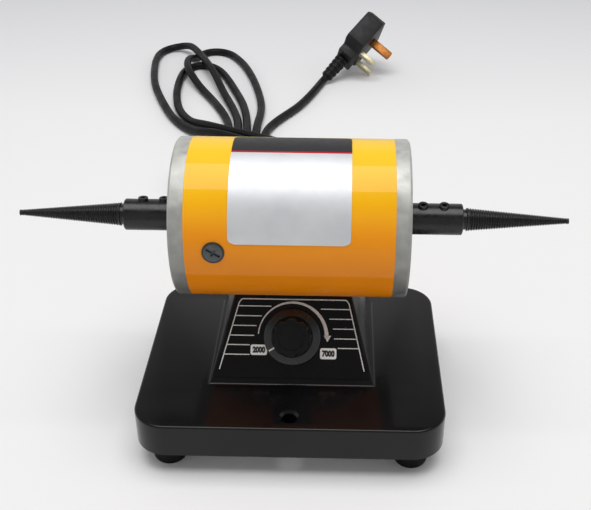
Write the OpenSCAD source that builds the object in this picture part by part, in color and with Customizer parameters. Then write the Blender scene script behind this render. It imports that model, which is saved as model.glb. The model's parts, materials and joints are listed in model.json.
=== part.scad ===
// Small double-spindle dental polishing lathe on a speed-control base.
// Millimetres, +Z up, +X along the spindles, front at -Y. The origin is on the bench,
// under the middle of the base box.

/* [Base box] */
// Width of the base box
base_w = 157; // [140:1:180]
// Depth of the base box, front to back
base_d = 128; // [118:1:150]
// Height of the base box from the underside to the flat top
base_h = 18.5; // [16:0.5:26]
// Corner radius of the base box in plan
base_r = 17; // [10:1:22]
// Wall thickness of the housing
wall = 2.8; // [2:0.1:3.6]
// Rounding of the edge round the flat top
rim_r = 1.2; // [0.5:0.1:2]
// Thickness of the steel bottom plate
plate_t = 1.5; // [1:0.1:2.5]
// Through hole in the front lip, diameter
lip_hole_d = 7.5; // [5:0.1:8]
// Bevel round the top of the lip hole, outer diameter
lip_bevel_d = 10; // [8.5:0.1:12]
// Distance from the front wall to the centre of the lip hole
lip_hole_in = 9.5; // [9:0.5:14]

/* [Pedestal] */
// Width of the pedestal at its foot
ped_w = 86; // [74:1:96]
// Depth of the pedestal at its foot
ped_d = 76; // [70:1:84]
// Distance from the front wall to the pedestal's foot
ped_setback = 33.5; // [28:0.5:38]
// Lean of the side faces from upright, degrees
side_draft = 18; // [8:1:20]
// Slope of the front control face from level, degrees
face_tilt = 55; // [50:1:60]
// Slope of the rear face from level, degrees
rear_tilt = 75; // [70:1:85]

/* [Feet] */
// Height of each rubber foot
foot_h = 12.5; // [8:0.5:18]
// Diameter of a foot at the bench
foot_d = 17; // [14:0.5:20]
// Diameter of a foot at its top
foot_top_d = 20; // [16:0.5:22]
// Distance from the side walls to a foot's centre
foot_in_x = 16.5; // [14:0.5:20]
// Distance from the front and rear walls to a foot's centre
foot_in_y = 15; // [14:0.5:20]

/* [Motor] */
// Outer diameter of the motor tube
motor_d = 80; // [76:1:84]
// Length of the motor tube
motor_len = 100; // [96:1:110]
// Thickness of each end cap outside the tube
cap_t = 7.5; // [7:0.5:10]
// Wall thickness of the steel motor tube
tube_wall = 3; // [2.5:0.1:3.5]
// Height of the motor axis over the flat top of the base
axis_over_top = 79.4; // [76:0.1:84]
// Distance of the motor axis behind the middle of the base
axis_back = 7; // [4:0.5:10]
// Length of each magnet segment
magnet_len = 56; // [50:1:58]
// Thickness of each magnet segment
magnet_t = 9; // [8:0.1:9.4]
// Angle covered by each magnet segment, degrees
magnet_span = 128; // [110:1:132]

/* [Armature] */
// Length of the armature core
core_len = 46; // [40:1:47]
// Radial air gap between core and magnets
air_gap = 0.8; // [0.5:0.1:1.2]
// Number of armature slots
slots = 12; // [10:1:14]
// Diameter of the commutator
comm_d = 26; // [24:0.5:28]
// Length of the commutator
comm_len = 16; // [14:0.5:17]
// Number of commutator bars
comm_bars = 24; // [16:1:30]
// Diameter of the shaft in the armature
shaft_d = 12; // [11:0.5:13]
// Diameter of the shaft in the bearings
journal_d = 10; // [9.5:0.1:10.4]
// Diameter of the shaft in the spindle collars
shaft_end_d = 8; // [7:0.1:9]

/* [Bearings] */
// Outer diameter of a ball bearing
brg_d = 26; // [25:0.5:27]
// Width of a ball bearing
brg_w = 8; // [7:0.5:8.5]
// Ball diameter
ball_d = 4.76; // [4.2:0.02:5]
// Balls in each bearing
balls = 8; // [7:1:9]

/* [Brush gear] */
// Distance of the brushes from the middle of the motor
brush_x = 36; // [34:0.5:37]
// Lift of the brush axis at the front, degrees above level
brush_lift = 3.5; // [0:0.5:6]
// Outer diameter of a brush holder
holder_d = 10.8; // [10:0.1:12]
// Diameter of the slotted brush cap
brush_cap_d = 9.2; // [8.6:0.1:9.6]
// Brush width along the shaft
brush_w = 6.5; // [5.5:0.5:6.5]
// Brush thickness round the commutator
brush_t = 5; // [5:0.5:5.5]

/* [Spindles] */
// Diameter of a spindle collar
collar_d = 16; // [14:0.5:20]
// Length of a spindle collar
collar_len = 26.5; // [24:0.5:30]
// Gap between end cap and collar
collar_gap = 1.5; // [1:0.1:3]
// Diameter of the short neck after the collar
neck_d = 10.4; // [8:0.1:11]
// Length of the neck
neck_len = 2; // [1:0.5:4]
// Diameter at the thick end of the threaded taper
taper_d = 12; // [10:0.5:14]
// Diameter at the tip of the taper
tip_d = 3; // [2:0.5:5]
// Length of the threaded taper
taper_len = 52; // [40:1:60]
// Pitch of the taper's thread
thread_pitch = 1.3; // [1:0.1:2]
// Depth of the taper's thread
thread_depth = 0.5; // [0.3:0.05:0.6]
// Diameter of a grub screw
grub_d = 5; // [4:0.5:5]
// Distance from the end cap to the first grub screw
grub_first = 7.8; // [6:0.1:9]
// Spacing of the two grub screws in a collar
grub_step = 10.6; // [9:0.1:12]
// How far a grub screw stands proud of its collar
grub_proud = 1.4; // [0:0.1:1.5]

/* [Nameplate] */
// Width of the nameplate foil
label_w = 58; // [40:1:70]
// Lower edge of the foil, degrees above level at the front
label_from = 10; // [5:1:20]
// Upper edge of the foil, degrees above level at the front
label_to = 106; // [90:1:115]

/* [Speed control] */
// Distance up the control face from its foot to the knob axis
knob_up = 25.3; // [23:0.1:28]
// Diameter of the knob's skirt
skirt_d = 29.5; // [26:0.5:32]
// Thickness of the knob's skirt
skirt_t = 3; // [2.5:0.1:4]
// Diameter of the knob's grip
grip_d = 20.4; // [18:0.1:22]
// Height of the knob above its skirt
grip_h = 12; // [8:0.5:16]
// Number of finger flutes on the grip
flutes = 8; // [6:1:10]
// Thickness of the control plate
panel_t = 0.8; // [0.5:0.1:1.2]
// Margin of the control face round the plate
panel_margin = 1.5; // [1:0.1:3]
// Distance up the face from its foot to the plate's lower edge
panel_low = 4; // [2.5:0.5:6]
// Distance up the face from its foot to the plate's upper edge
panel_high = 47; // [44:0.5:48]
// Diameter of the potentiometer body
pot_d = 24; // [20:0.5:26]
// Depth of the potentiometer body
pot_depth = 12; // [9:0.5:14]

/* [Control board] */
// Width of the circuit board
board_w = 70; // [64:1:76]
// Depth of the circuit board
board_d = 56; // [52:1:60]
// Thickness of the circuit board
board_t = 1.6; // [1.2:0.1:2]
// Height of the board's standoffs
standoff_h = 5; // [4:0.5:6.5]

/* [Cord and plug] */
// Diameter of the mains cord
cord_d = 7.2; // [6.5:0.1:7.5]
// Distance of the cord outlet left of the middle
cord_left = 30; // [20:1:40]
// Height of the cord outlet above the base underside
cord_up = 8.5; // [8:0.5:10]
// Length of the cord outlet's bend boot
boot_len = 38; // [30:1:50]
// Length of the plug body
plug_l = 50; // [45:1:56]
// Width of the plug body
plug_w = 48; // [44:1:52]
// Thickness of the plug body
plug_t = 20; // [18:0.5:24]
// Length of the ribbed relief on the plug
relief_len = 26; // [20:1:34]

/* [Hidden] */
$fn = 96;

// General clearances
eps = 0.01;
slip = 0.02;      // between a screw or ring and its seat
run = 0.06;       // running clearance
seat = 0.15;      // between a curved piece and its cradle
cut = 1;          // overshoot of a cutting shape

// Heights and places
base_z = foot_h;
top_z = base_z + base_h;
axis_z = top_z + axis_over_top;
front_y = -base_d / 2;
rear_y = base_d / 2;
motor_r = motor_d / 2;
tube_in_r = motor_r - tube_wall;
half_tube = motor_len / 2;
cap_out = half_tube + cap_t;
ped_front = front_y + ped_setback;
ped_rear = ped_front + ped_d;
cradle_drop = 0.62;  // height of the cradle's rim under the motor axis, as a share of the radius
ped_top = axis_z - motor_r * cradle_drop;
ped_rise = ped_top - top_z;
plate_gap = 0.3;  // round the bottom plate
plate_top = base_z + plate_t;
foot_x = base_w / 2 - foot_in_x;
foot_y = base_d / 2 - foot_in_y;
foot_recess = 4.5;
foot_nut_af = 7;
foot_nut_h = 3.2;
FEET = [for (sx = [-1, 1], sy = [-1, 1]) [sx * foot_x, sy * foot_y]];
// Corner posts of the housing, which take the bottom plate's screws
post_d = 8;
post_h = base_h - plate_t - wall / 2;
post_x = 45;
post_y = base_d / 2 - wall - 4.7;
POSTS = [for (sx = [-1, 1], sy = [-1, 1]) [sx * post_x, sy * post_y]];
lip_y = front_y + lip_hole_in;
lip_bevel_h = (lip_bevel_d - lip_hole_d) / 2;
boss_d = lip_hole_d + 2 * wall;
cord_z = base_z + cord_up;

// Screw sizes: [shank, head diameter, head height], and the length under the head where it is set here
plate_screw = [3, 5.6, 1.9, 9];
foot_screw = [4, 7.6, 2.6];
board_screw = [3, 5.4, 2, 3.6];
mount_screw = [4, 7, 3];
clamp_screw = [3, 5.4, 2];
bolt_d = 4;
bolt_head_d = 7;
bolt_head_h = 3.6;
bolt_nut_af = 7;
bolt_nut_h = 3.2;
bolt_r = 31.3;
bolt_sink = 4;    // depth of the bolt seats in the end caps

// Leads through the motor's underside
lead_x = -24.2;
lead_off = 16;    // degrees below a brush holder where its lead starts
grommet_r = 3.4;
grommet_rim = 0.5;
grommet_bore = 4.8;
lead_d = 1.8;

foil_t = 0.3;
foil_glue = 0.06;

// Motor mounting screws, in degrees round the motor from level at the rear
MOUNT_ANGLES = [264, 286];
mount_x = 18;

// Bearing and cap sizes along the shaft
cap_hub_r = brg_d / 2 + 4.5;
brg_inner = half_tube - 5;
brg_outer = brg_inner + brg_w;
spigot_len = 4;
hub_rise = 0.8;   // the cap's hub outside its flat face
hub_in = brg_inner - 1;
pitch_r = (brg_d + journal_d) / 4;
race_r = ball_d / 2 + run;
inner_ring_r = pitch_r - 1.7;
outer_ring_r = pitch_r + 1.7;
cage_half_t = 0.6;
cage_w = 6;

// Armature places along the shaft, from the middle of the motor
magnet_in_r = tube_in_r - seat - magnet_t;
core_r = magnet_in_r - air_gap;
magnet_mid = 10;
core_from = magnet_mid - core_len / 2;
core_to = magnet_mid + core_len / 2;
coil_len = 8;
slot_r = 3.2;
slot_at = core_r - 6.2;
riser_t = 1.8;
comm_from = -brush_x - comm_len / 2 + 1;
comm_to = comm_from + comm_len;
comm_r = comm_d / 2;

// Brush gear, measured outward from the motor axis
holder_in = comm_r + 4;
holder_out = motor_r + 0.6;
brush_in = comm_r + 0.08;
brush_len = 14;
cap_screw_h = 5;
cap_seat_r = holder_out - cap_screw_h;
spring_r = 1.9;
spring_wire = 0.9;

// Spindles
collar_from = cap_out + collar_gap;
collar_to = collar_from + collar_len;
taper_from = collar_to + neck_len;
tip_x = taper_from + taper_len;
socket_to = collar_to - 3;
shaft_to = socket_to - 0.3;
grub_places = [cap_out + grub_first, cap_out + grub_first + grub_step];
left_grub_turn = 96;
right_grub_turn = 80;

// Speed control, in the control face's own axes: u across, v up the face, w out of it
stack_nut_h = 2.2;
nut_af = 13;
bushing_d = 9;
knob_gap = 0.7;
knob_w0 = panel_t + knob_gap;
knob_top = knob_w0 + skirt_t + grip_h;
pot_shaft_d = 6;
bushing_top = panel_t + stack_nut_h + 0.4;
knob_recess_top = bushing_top + 0.5;
knob_screw_d = 3;
knob_screw_l = 4.8;
knob_screw_up = knob_w0 + skirt_t + 4;
// Half width of the control face at a distance v up from its foot
function face_half(v) = ped_w / 2 - v * sin(face_tilt) * tan(side_draft);

// Control board
board_y = 9;
board_z = plate_top + standoff_h;
board_top = board_z + board_t;
hole_in = 4;
BOARD_HOLES = [for (sx = [-1, 1], sy = [-1, 1])
    [sx * (board_w / 2 - hole_in), board_y + sy * (board_d / 2 - hole_in)]];

sink_w = 36;
sink_h = 26;
sink_y = board_y + board_d / 2 - 13;
block_x = -25;
block_y = -18;
block_l = 20;
block_d = 9;
block_h = 10;
clamp_pitch = 5;  // spacing of the block's terminals
fuse_x = 5;
fuse_y = -13;
fuse_r = 2.6;
fuse_up = 4.5;

// Cord outlet
gland_d = cord_d + 4.3;
boot_in = rear_y - wall - 3;
clamp_y = rear_y - 16;
clamp_half = 7;
clamp_roof = 1.4;
clamp_h = cord_up - plate_t + cord_d / 2 + clamp_roof;
core_d = 2.2;     // each insulated core inside the sheath
sheath_end = clamp_y - 8;
boot_end = rear_y + boot_len;
boot_tip_d = cord_d + 1.4;

// The plug leans on one line pin and on its cord: roll, lift and heading in degrees
plug_roll = -52;
plug_lift = 31;
plug_head = 44;
plug_at = [32.8, 484, 14.1];
relief_mid = 11;  // height of the cord's line over the pin face
line_pin_u = 12;
earth_pin_u = line_pin_u + 22.2;
line_pin_l = 17.7;
earth_pin_l = 22.7;
line_pin_apart = 22.2;

// Route of the free cord, from the boot to the plug's relief, one group to each stretch: out of
// the boot, round the middle loop, back behind the motor, round the outer loop, over the others
// and back, round the inner loop, back behind the motor, and on to the plug
CORD = [
    [-31, 140, 16.5], [-34, 190, 11.1], [-37, 226, 11.2], [-42, 254, 3.9],

    [-50.5, 345, 3.7], [-50, 400, 3.7], [-59.5, 455, 3.7], [-74, 505, 3.7],
    [-88, 535, 3.7], [-98, 547, 3.7], [-111, 551, 3.7], [-122, 544, 3.7], [-128, 527, 3.8],
    [-132, 511, 10.3], [-132, 495, 11.2], [-127, 473, 11.1], [-113, 446, 5.3],
    [-95, 412, 3.7], [-80, 375, 3.7],

    [-74.5, 345, 3.7], [-80, 312, 3.7], [-98, 284, 3.7], [-108, 258, 3.7],
    [-102, 237, 3.7], [-85, 228, 3.7], [-70, 238, 3.7], [-66, 262, 3.7], [-66.5, 345, 3.7],

    [-72.5, 385, 3.7], [-88.5, 432, 5.3], [-105, 478, 11.1], [-126, 528, 11.3],
    [-137, 550, 9.7], [-149, 560, 5.3], [-161, 557, 3.7], [-168, 542, 3.7],
    [-168, 512, 3.7], [-158, 454, 3.7], [-136, 392, 3.7], [-119, 360, 3.7],

    [-102, 341, 5.3], [-84, 327, 11.2], [-33, 298, 11.2], [-14, 287, 11.2], [4, 279, 4.6],
    [24, 275, 3.7], [41, 281, 3.7], [46, 293, 3.7], [39, 305, 3.7], [16, 311, 3.7],
    [-12, 312, 5.3],

    [-32, 312, 11.2], [-78, 335, 11.2], [-96, 349, 9], [-111, 366, 4.1], [-125, 393, 3.7],
    [-133.5, 432, 3.7], [-136, 474, 3.7], [-134, 493, 3.7], [-127, 506, 3.7],
    [-116, 510, 3.7], [-105, 502, 3.7], [-94, 484, 3.7], [-80, 446, 3.7], [-66, 400, 3.7],
    [-58.5, 345, 3.7],

    [-57, 262, 3.7], [-49, 235, 3.7], [-38, 219, 3.7], [-23, 213, 3.7], [-9, 221, 3.7],
    [-5, 240, 3.7], [-13, 268, 3.7],

    [-30, 300, 3.7], [-39, 322, 3.7], [-42.5, 345, 3.7], [-33, 372, 3.7], [-17, 402, 3.7],
    [-6, 432, 3.7]
];

// ---- Paths ----

function unit(v) = v / norm(v);

// A smooth curve through the points p, with steps pieces between each two
function between(a, b, c, d, s) =
    0.5 * (2 * b + (c - a) * s + (2 * a - 5 * b + 4 * c - d) * s * s
        + (3 * b - a - 3 * c + d) * s * s * s);
function smooth(p, steps) = let (n = len(p) - 1) [
    for (i = [0:n - 1], j = [0:steps - 1])
        between(p[max(i - 1, 0)], p[i], p[i + 1], p[min(i + 2, n)], j / steps),
    p[n]
];

function tangents(p) = [
    for (i = [0:len(p) - 1]) unit(p[min(i + 1, len(p) - 1)] - p[max(i - 1, 0)])
];

// A side direction for each ring, carried along the path without twisting
function square_to(n, t) = unit(n - (n * t) * t);
function carried(t, n, i = 0) =
    i == len(t) ? [] : let (m = square_to(n, t[i])) concat([m], carried(t, m, i + 1));

// A round tube of radius r swept along the points p
module tube(p, r, sides = 8) {
    t = tangents(p);
    n = carried(t, abs(t[0].z) < 0.8 ? [0, 0, 1] : [0, 1, 0]);
    last = len(p) - 1;
    points = [
        for (i = [0:last], k = [0:sides - 1])
            let (a = k * 360 / sides)
            p[i] + r * (cos(a) * n[i] + sin(a) * cross(t[i], n[i]))
    ];
    walls = [
        for (i = [0:last - 1], k = [0:sides - 1])
            let (a = i * sides + k, b = i * sides + (k + 1) % sides)
            each [[a, a + sides, b + sides], [a, b + sides, b]]
    ];
    ends = [
        [for (k = [0:sides - 1]) k],
        [for (k = [sides - 1:-1:0]) last * sides + k]
    ];
    polyhedron(points, concat(walls, ends));
}

// ---- Places ----

// Local +Z runs along the shaft, from x
module on_shaft(x = 0) {
    translate([x, axis_back, axis_z]) rotate([0, 90, 0]) children();
}

// Local +Z runs outward from the motor axis, deg degrees up from level at the rear
module round_motor(x, deg) {
    translate([x, axis_back, axis_z]) rotate([deg - 90, 0, 0]) children();
}

// Local X across, Y up the control face, Z out of it, from a distance v up from its foot
module on_face(v = 0) {
    translate([0, ped_front, top_z]) rotate([face_tilt, 0, 0]) translate([0, v, 0]) children();
}

module at_each(places) {
    for (p = places) translate([p.x, p.y, 0]) children();
}

// ---- Common shapes ----

module ring(r_out, r_in, h) {
    difference() {
        cylinder(h = h, r = r_out);
        translate([0, 0, -cut]) cylinder(h = h + 2 * cut, r = r_in);
    }
}

// A hexagon nut with its face on the XY plane
module nut(af, h, bore_d) {
    difference() {
        cylinder(h = h, r = af / 2 / cos(30), $fn = 6);
        translate([0, 0, -cut]) cylinder(h = h + 2 * cut, r = bore_d / 2);
    }
}

// A cross-headed screw: s is [shank, head diameter, head height, length under head]
module screw(s, length) {
    slot_w = s[0] * 0.25;
    slot_l = s[1] * 0.6;
    union() {
        cylinder(h = length, r = s[0] / 2);
        difference() {
            translate([0, 0, -s[2]]) cylinder(h = s[2], r = s[1] / 2);
            for (a = [0, 90]) rotate([0, 0, a])
                translate([-slot_l / 2, -slot_w / 2, -s[2] - eps]) cube([slot_l, slot_w, s[2] / 2]);
        }
    }
}

module rounded_square(w, d, r) {
    square([w - 2 * r, d], center = true);
    square([w, d - 2 * r], center = true);
    for (sx = [-1, 1], sy = [-1, 1])
        translate([sx * (w / 2 - r), sy * (d / 2 - r)]) circle(r = r);
}

// A box with upright round corners r and a rounded upper edge e
module soft_box(w, d, h, r, e) {
    linear_extrude(h - e) rounded_square(w, d, r);
    linear_extrude(h) rounded_square(w - 2 * e, d - 2 * e, r - e);
    for (s = [-1, 1]) {
        translate([s * (w / 2 - e), d / 2 - r, h - e]) rotate([90, 0, 0])
            cylinder(h = d - 2 * r, r = e);
        translate([r - w / 2, s * (d / 2 - e), h - e]) rotate([0, 90, 0])
            cylinder(h = w - 2 * r, r = e);
    }
    for (sx = [-1, 1], sy = [-1, 1])
        translate([sx * (w / 2 - r), sy * (d / 2 - r), h - e])
            rotate_extrude() translate([r - e, 0]) circle(r = e, $fn = 32);
}

// ---- Base ----

// The four-sided pedestal with all its faces moved in by t
module pedestal(t) {
    f = ped_front + t / sin(face_tilt);
    r = ped_rear - t / sin(rear_tilt);
    h = ped_w / 2 - t / cos(side_draft);
    low = t == 0 ? -wall / 2 : -wall - cut;
    high = ped_rise - t;
    intersection() {
        translate([-ped_w, 0, top_z]) rotate([90, 0, 90]) linear_extrude(2 * ped_w) polygon([
            [f + low / tan(face_tilt), low],
            [r - low / tan(rear_tilt), low],
            [r - high / tan(rear_tilt), high],
            [f + high / tan(face_tilt), high]
        ]);
        translate([0, base_d, top_z]) rotate([90, 0, 0]) linear_extrude(2 * base_d) polygon([
            [-h + low * tan(side_draft), low],
            [h - low * tan(side_draft), low],
            [h - high * tan(side_draft), high],
            [-h + high * tan(side_draft), high]
        ]);
    }
}

module motor_space(extra) {
    on_shaft(-base_w) cylinder(h = 2 * base_w, r = motor_r + seat + extra);
}

module base_housing() {
    color("#1c1c1e") difference() {
        union() {
            difference() {
                union() {
                    translate([0, 0, base_z]) soft_box(base_w, base_d, base_h, base_r, rim_r);
                    pedestal(0);
                }
                translate([0, 0, base_z - cut]) linear_extrude(base_h - wall + cut)
                    rounded_square(base_w - 2 * wall, base_d - 2 * wall, base_r - wall);
                difference() {
                    pedestal(wall);
                    motor_space(wall);
                }
            }
            at_each(POSTS) translate([0, 0, plate_top]) cylinder(h = post_h, r = post_d / 2);
            translate([0, lip_y, plate_top]) cylinder(h = post_h, r = boss_d / 2);
        }
        motor_space(0);
        at_each(POSTS) translate([0, 0, base_z])
            cylinder(h = base_h - wall - 1, r = plate_screw[0] / 2 + slip);
        translate([0, lip_y, base_z - cut]) cylinder(h = base_h + 2 * cut, r = lip_hole_d / 2);
        translate([0, lip_y, top_z - lip_bevel_h])
            cylinder(h = lip_bevel_h + eps, r1 = lip_hole_d / 2, r2 = lip_bevel_d / 2 + eps);
        on_face(knob_up) translate([0, 0, -wall - cut])
            cylinder(h = wall + 2 * cut, r = bushing_d / 2 + slip);
        mount_holes();
        round_motor(lead_x, 270) translate([0, 0, motor_r - cut])
            cylinder(h = wall + 3 * cut, r = grommet_r + slip);
        translate([-cord_left, rear_y + cut, cord_z]) rotate([90, 0, 0])
            cylinder(h = wall + 2 * cut, r = gland_d / 2 + slip);
    }
}

module mount_holes() {
    for (x = [-mount_x, mount_x], a = MOUNT_ANGLES)
        round_motor(x, a) translate([0, 0, tube_in_r - cut])
            cylinder(h = tube_wall + wall + 3 * cut, r = mount_screw[0] / 2 + slip);
}

module bottom_plate() {
    color("#5a5c5f") translate([0, 0, base_z]) linear_extrude(plate_t) difference() {
        rounded_square(base_w - 2 * (wall + plate_gap), base_d - 2 * (wall + plate_gap),
            base_r - wall - plate_gap);
        at_each(POSTS) circle(r = plate_screw[0] / 2 + 0.2);
        at_each(FEET) circle(r = foot_screw[0] / 2 + 0.2);
        translate([0, lip_y]) circle(r = lip_hole_d / 2 + 0.6);
        for (s = [-1, 1]) translate([-cord_left + s * clamp_half, clamp_y])
            circle(r = clamp_screw[0] / 2 + slip);
    }
}

module plate_screws() {
    color("#9a9ca0") at_each(POSTS) translate([0, 0, base_z]) screw(plate_screw, plate_screw[3]);
}

module feet() {
    color("#161616") at_each(FEET) difference() {
        cylinder(h = foot_h, r1 = foot_d / 2, r2 = foot_top_d / 2);
        translate([0, 0, -cut]) cylinder(h = foot_recess + cut, r = foot_screw[1] / 2 + 0.5);
        cylinder(h = foot_h + cut, r = foot_screw[0] / 2 + slip);
    }
}

module foot_screws() {
    color("#9a9ca0") at_each(FEET) translate([0, 0, foot_recess])
        screw(foot_screw, foot_h - foot_recess + plate_t + foot_nut_h - 0.2);
}

module foot_nuts() {
    color("#9a9ca0") at_each(FEET) translate([0, 0, plate_top])
        nut(foot_nut_af, foot_nut_h, foot_screw[0] + 2 * slip);
}

// ---- Speed control ----

module control_plate() {
    color("#232325") on_face() difference() {
        linear_extrude(panel_t) polygon([
            [panel_margin - face_half(panel_low), panel_low],
            [face_half(panel_low) - panel_margin, panel_low],
            [face_half(panel_high) - panel_margin, panel_high],
            [panel_margin - face_half(panel_high), panel_high]
        ]);
        translate([0, knob_up, -cut]) cylinder(h = panel_t + 2 * cut, r = bushing_d / 2 + slip);
    }
}

module potentiometer() {
    lug_w = 1.6;
    lug_pitch = 5;
    color("#8d8f93") on_face(knob_up) difference() {
        union() {
            translate([0, 0, -wall - pot_depth]) cylinder(h = pot_depth, r = pot_d / 2);
            translate([0, 0, -wall - eps]) cylinder(h = wall + bushing_top + eps, r = bushing_d / 2);
            for (i = [-1, 0, 1]) translate([i * lug_pitch - lug_w / 2, -pot_d / 2 - 4, -wall - 5])
                cube([lug_w, pot_d / 2, 0.8]);
        }
        translate([0, 0, 1.5 - wall - pot_depth])
            cylinder(h = pot_depth + wall + bushing_top + cut, r = pot_shaft_d / 2 + run);
    }
}

module pot_nut() {
    color("#a6a8ac") on_face(knob_up) translate([0, 0, panel_t])
        nut(nut_af, stack_nut_h, bushing_d + 2 * slip);
}

module pot_shaft() {
    from = 1.5 - wall - pot_depth + run;
    color("#b5b7ba") on_face(knob_up) translate([0, 0, from])
        cylinder(h = knob_top - 2.2 - from, r = pot_shaft_d / 2);
}

module knob() {
    flute_r = 2.2;
    flute_at = grip_d / 2 + 1.3;
    edge = 0.6;
    skirt_top = knob_w0 + skirt_t;
    color("#1b1b1d") on_face(knob_up) difference() {
        union() {
            translate([0, 0, knob_w0]) cylinder(h = skirt_t - edge, r = skirt_d / 2);
            translate([0, 0, skirt_top - edge]) cylinder(h = edge, r1 = skirt_d / 2, r2 = skirt_d / 2 - edge);
            translate([0, 0, skirt_top - eps]) difference() {
                union() {
                    cylinder(h = grip_h - edge + eps, r = grip_d / 2);
                    translate([0, 0, grip_h - edge])
                        cylinder(h = edge, r1 = grip_d / 2, r2 = grip_d / 2 - edge);
                }
                for (i = [0:flutes - 1]) rotate([0, 0, (i + 0.5) * 360 / flutes])
                    translate([flute_at, 0, eps]) cylinder(h = grip_h + cut, r = flute_r);
            }
        }
        translate([0, 0, knob_w0 - cut])
            cylinder(h = knob_recess_top - knob_w0 + cut, r = nut_af / 2 / cos(30) + 0.5);
        cylinder(h = knob_top - 2, r = pot_shaft_d / 2 + slip);
        translate([0, 0, knob_screw_up]) rotate([-90, 0, 0])
            cylinder(h = grip_d, r = knob_screw_d / 2 + slip);
    }
}

module knob_screw() {
    color("#8b8d90") on_face(knob_up)
        translate([0, pot_shaft_d / 2 + slip, knob_screw_up]) rotate([-90, 0, 0])
        difference() {
            cylinder(h = knob_screw_l, r = knob_screw_d / 2);
            translate([0, 0, knob_screw_l - 1.5]) cylinder(h = 2, r = knob_screw_d / 4, $fn = 6);
        }
}

// ---- Control board ----

module control_board() {
    color("#2f6b3c") translate([0, 0, board_z]) linear_extrude(board_t) difference() {
        translate([-board_w / 2, board_y - board_d / 2]) square([board_w, board_d]);
        at_each(BOARD_HOLES) circle(r = board_screw[0] / 2 + 0.1);
    }
}

module standoffs() {
    color("#c9b36a") at_each(BOARD_HOLES) translate([0, 0, plate_top]) difference() {
        cylinder(h = standoff_h, r = 3.2, $fn = 6);
        translate([0, 0, 1]) cylinder(h = standoff_h, r = board_screw[0] / 2 + slip);
    }
}

module board_screws() {
    color("#9a9ca0") at_each(BOARD_HOLES) translate([0, 0, board_top]) mirror([0, 0, 1])
        screw(board_screw, board_screw[3]);
}

// A finned upright heat sink at the rear of the board
module heat_sink() {
    fins = 7;
    color("#b9bbbf") translate([0, sink_y, board_top]) {
        translate([-sink_w / 2, 0, 0]) cube([sink_w, 2.5, sink_h]);
        for (i = [0:fins - 1]) translate([-sink_w / 2 + i * (sink_w - 1.2) / (fins - 1), 2.5 - eps, 0])
            cube([1.2, 6, sink_h]);
    }
}

module triac() {
    body_h = 9.5;
    lift = 5;
    color("#222226") translate([0, sink_y, board_top]) {
        translate([-5, -1.3, lift]) cube([10, 1.3, 16]);
        translate([-5, -4.5, lift]) cube([10, 3.2 + eps, body_h]);
        for (i = [-1, 0, 1]) translate([i * 2.54 - 0.4, -3, 0]) cube([0.8, 0.5, lift + eps]);
    }
}

module capacitor() {
    color("#2c4d7a") translate([-23, 15, board_top]) cylinder(h = 24, r = 8);
}

module choke() {
    core_mid = 7.5;
    color("#9c6b2f") translate([24, 13, board_top + 4])
        rotate_extrude() translate([core_mid, 0]) circle(r = 4);
}

module rectifier() {
    color("#242428") translate([-6, 8, board_top]) {
        translate([0, 0, 2]) cube([15, 4, 11]);
        for (i = [0:3]) translate([1.5 + i * 3.7, 1.6, 0]) cube([0.9, 0.8, 2 + eps]);
    }
}

module terminal_block() {
    color("#3d7a4c") translate([block_x, block_y, board_top]) difference() {
        cube([block_l, block_d, block_h]);
        for (i = [0:3]) translate([(i + 0.5) * clamp_pitch, block_d / 2, block_h - 4])
            cylinder(h = 5, r = 1.7);
    }
}

module fuse() {
    color("#cfd6d8", 0.7) translate([fuse_x, fuse_y, board_top + fuse_up]) rotate([0, 90, 0])
        cylinder(h = 20, r = fuse_r);
}

module fuse_clips() {
    for (x = [2, 14]) color("#b9a45a") translate([fuse_x + x, fuse_y, board_top]) difference() {
        translate([0, -fuse_r - 0.6, 0]) cube([4, 2 * fuse_r + 1.2, fuse_up + 2]);
        translate([-cut, 0, fuse_up]) rotate([0, 90, 0]) cylinder(h = 4 + 2 * cut, r = fuse_r + slip);
        translate([-cut, -fuse_r * 0.7, fuse_up]) cube([4 + 2 * cut, fuse_r * 1.4, 4]);
    }
}

// ---- Motor ----

module motor_tube() {
    color("#f2a81d") difference() {
        on_shaft(-half_tube) ring(motor_r, tube_in_r, motor_len);
        for (s = [0, 180]) round_motor(-brush_x, s - brush_lift) translate([0, 0, tube_in_r - cut])
            cylinder(h = tube_wall + 2 * cut, r = holder_d / 2 + slip);
        mount_holes();
        round_motor(lead_x, 270) translate([0, 0, tube_in_r - 3 * cut])
            cylinder(h = tube_wall + 5 * cut, r = grommet_r + slip);
    }
}

// The right end cap; the left one is its mirror image
module end_cap() {
    edge = 1;
    difference() {
        union() {
            on_shaft(half_tube) cylinder(h = cap_t - edge, r = motor_r);
            on_shaft(cap_out - edge) cylinder(h = edge, r1 = motor_r, r2 = motor_r - edge);
            on_shaft(half_tube - spigot_len) ring(tube_in_r - slip, tube_in_r - 4, spigot_len + eps);
            on_shaft(hub_in) cylinder(h = half_tube - hub_in + eps, r = cap_hub_r);
            on_shaft(cap_out - eps) cylinder(h = hub_rise, r = cap_hub_r);
        }
        on_shaft(hub_in - cut) cylinder(h = brg_outer - hub_in + cut, r = brg_d / 2);
        on_shaft(half_tube) cylinder(h = 2 * cap_t, r = shaft_end_d / 2 + 1.2);
        for (a = [90, 270]) {
            round_motor(0, a) translate([half_tube - 2 * spigot_len, 0, bolt_r]) rotate([0, 90, 0])
                cylinder(h = 3 * cap_t, r = bolt_d / 2 + slip);
            round_motor(0, a) translate([cap_out - bolt_sink, 0, bolt_r]) rotate([0, 90, 0])
                cylinder(h = bolt_sink + cut, r = bolt_head_d / 2 + 0.7);
        }
    }
}

module left_end_cap() {
    color("#a9a9a4") mirror([1, 0, 0]) end_cap();
}

module right_end_cap() {
    color("#a9a9a4") end_cap();
}

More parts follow.
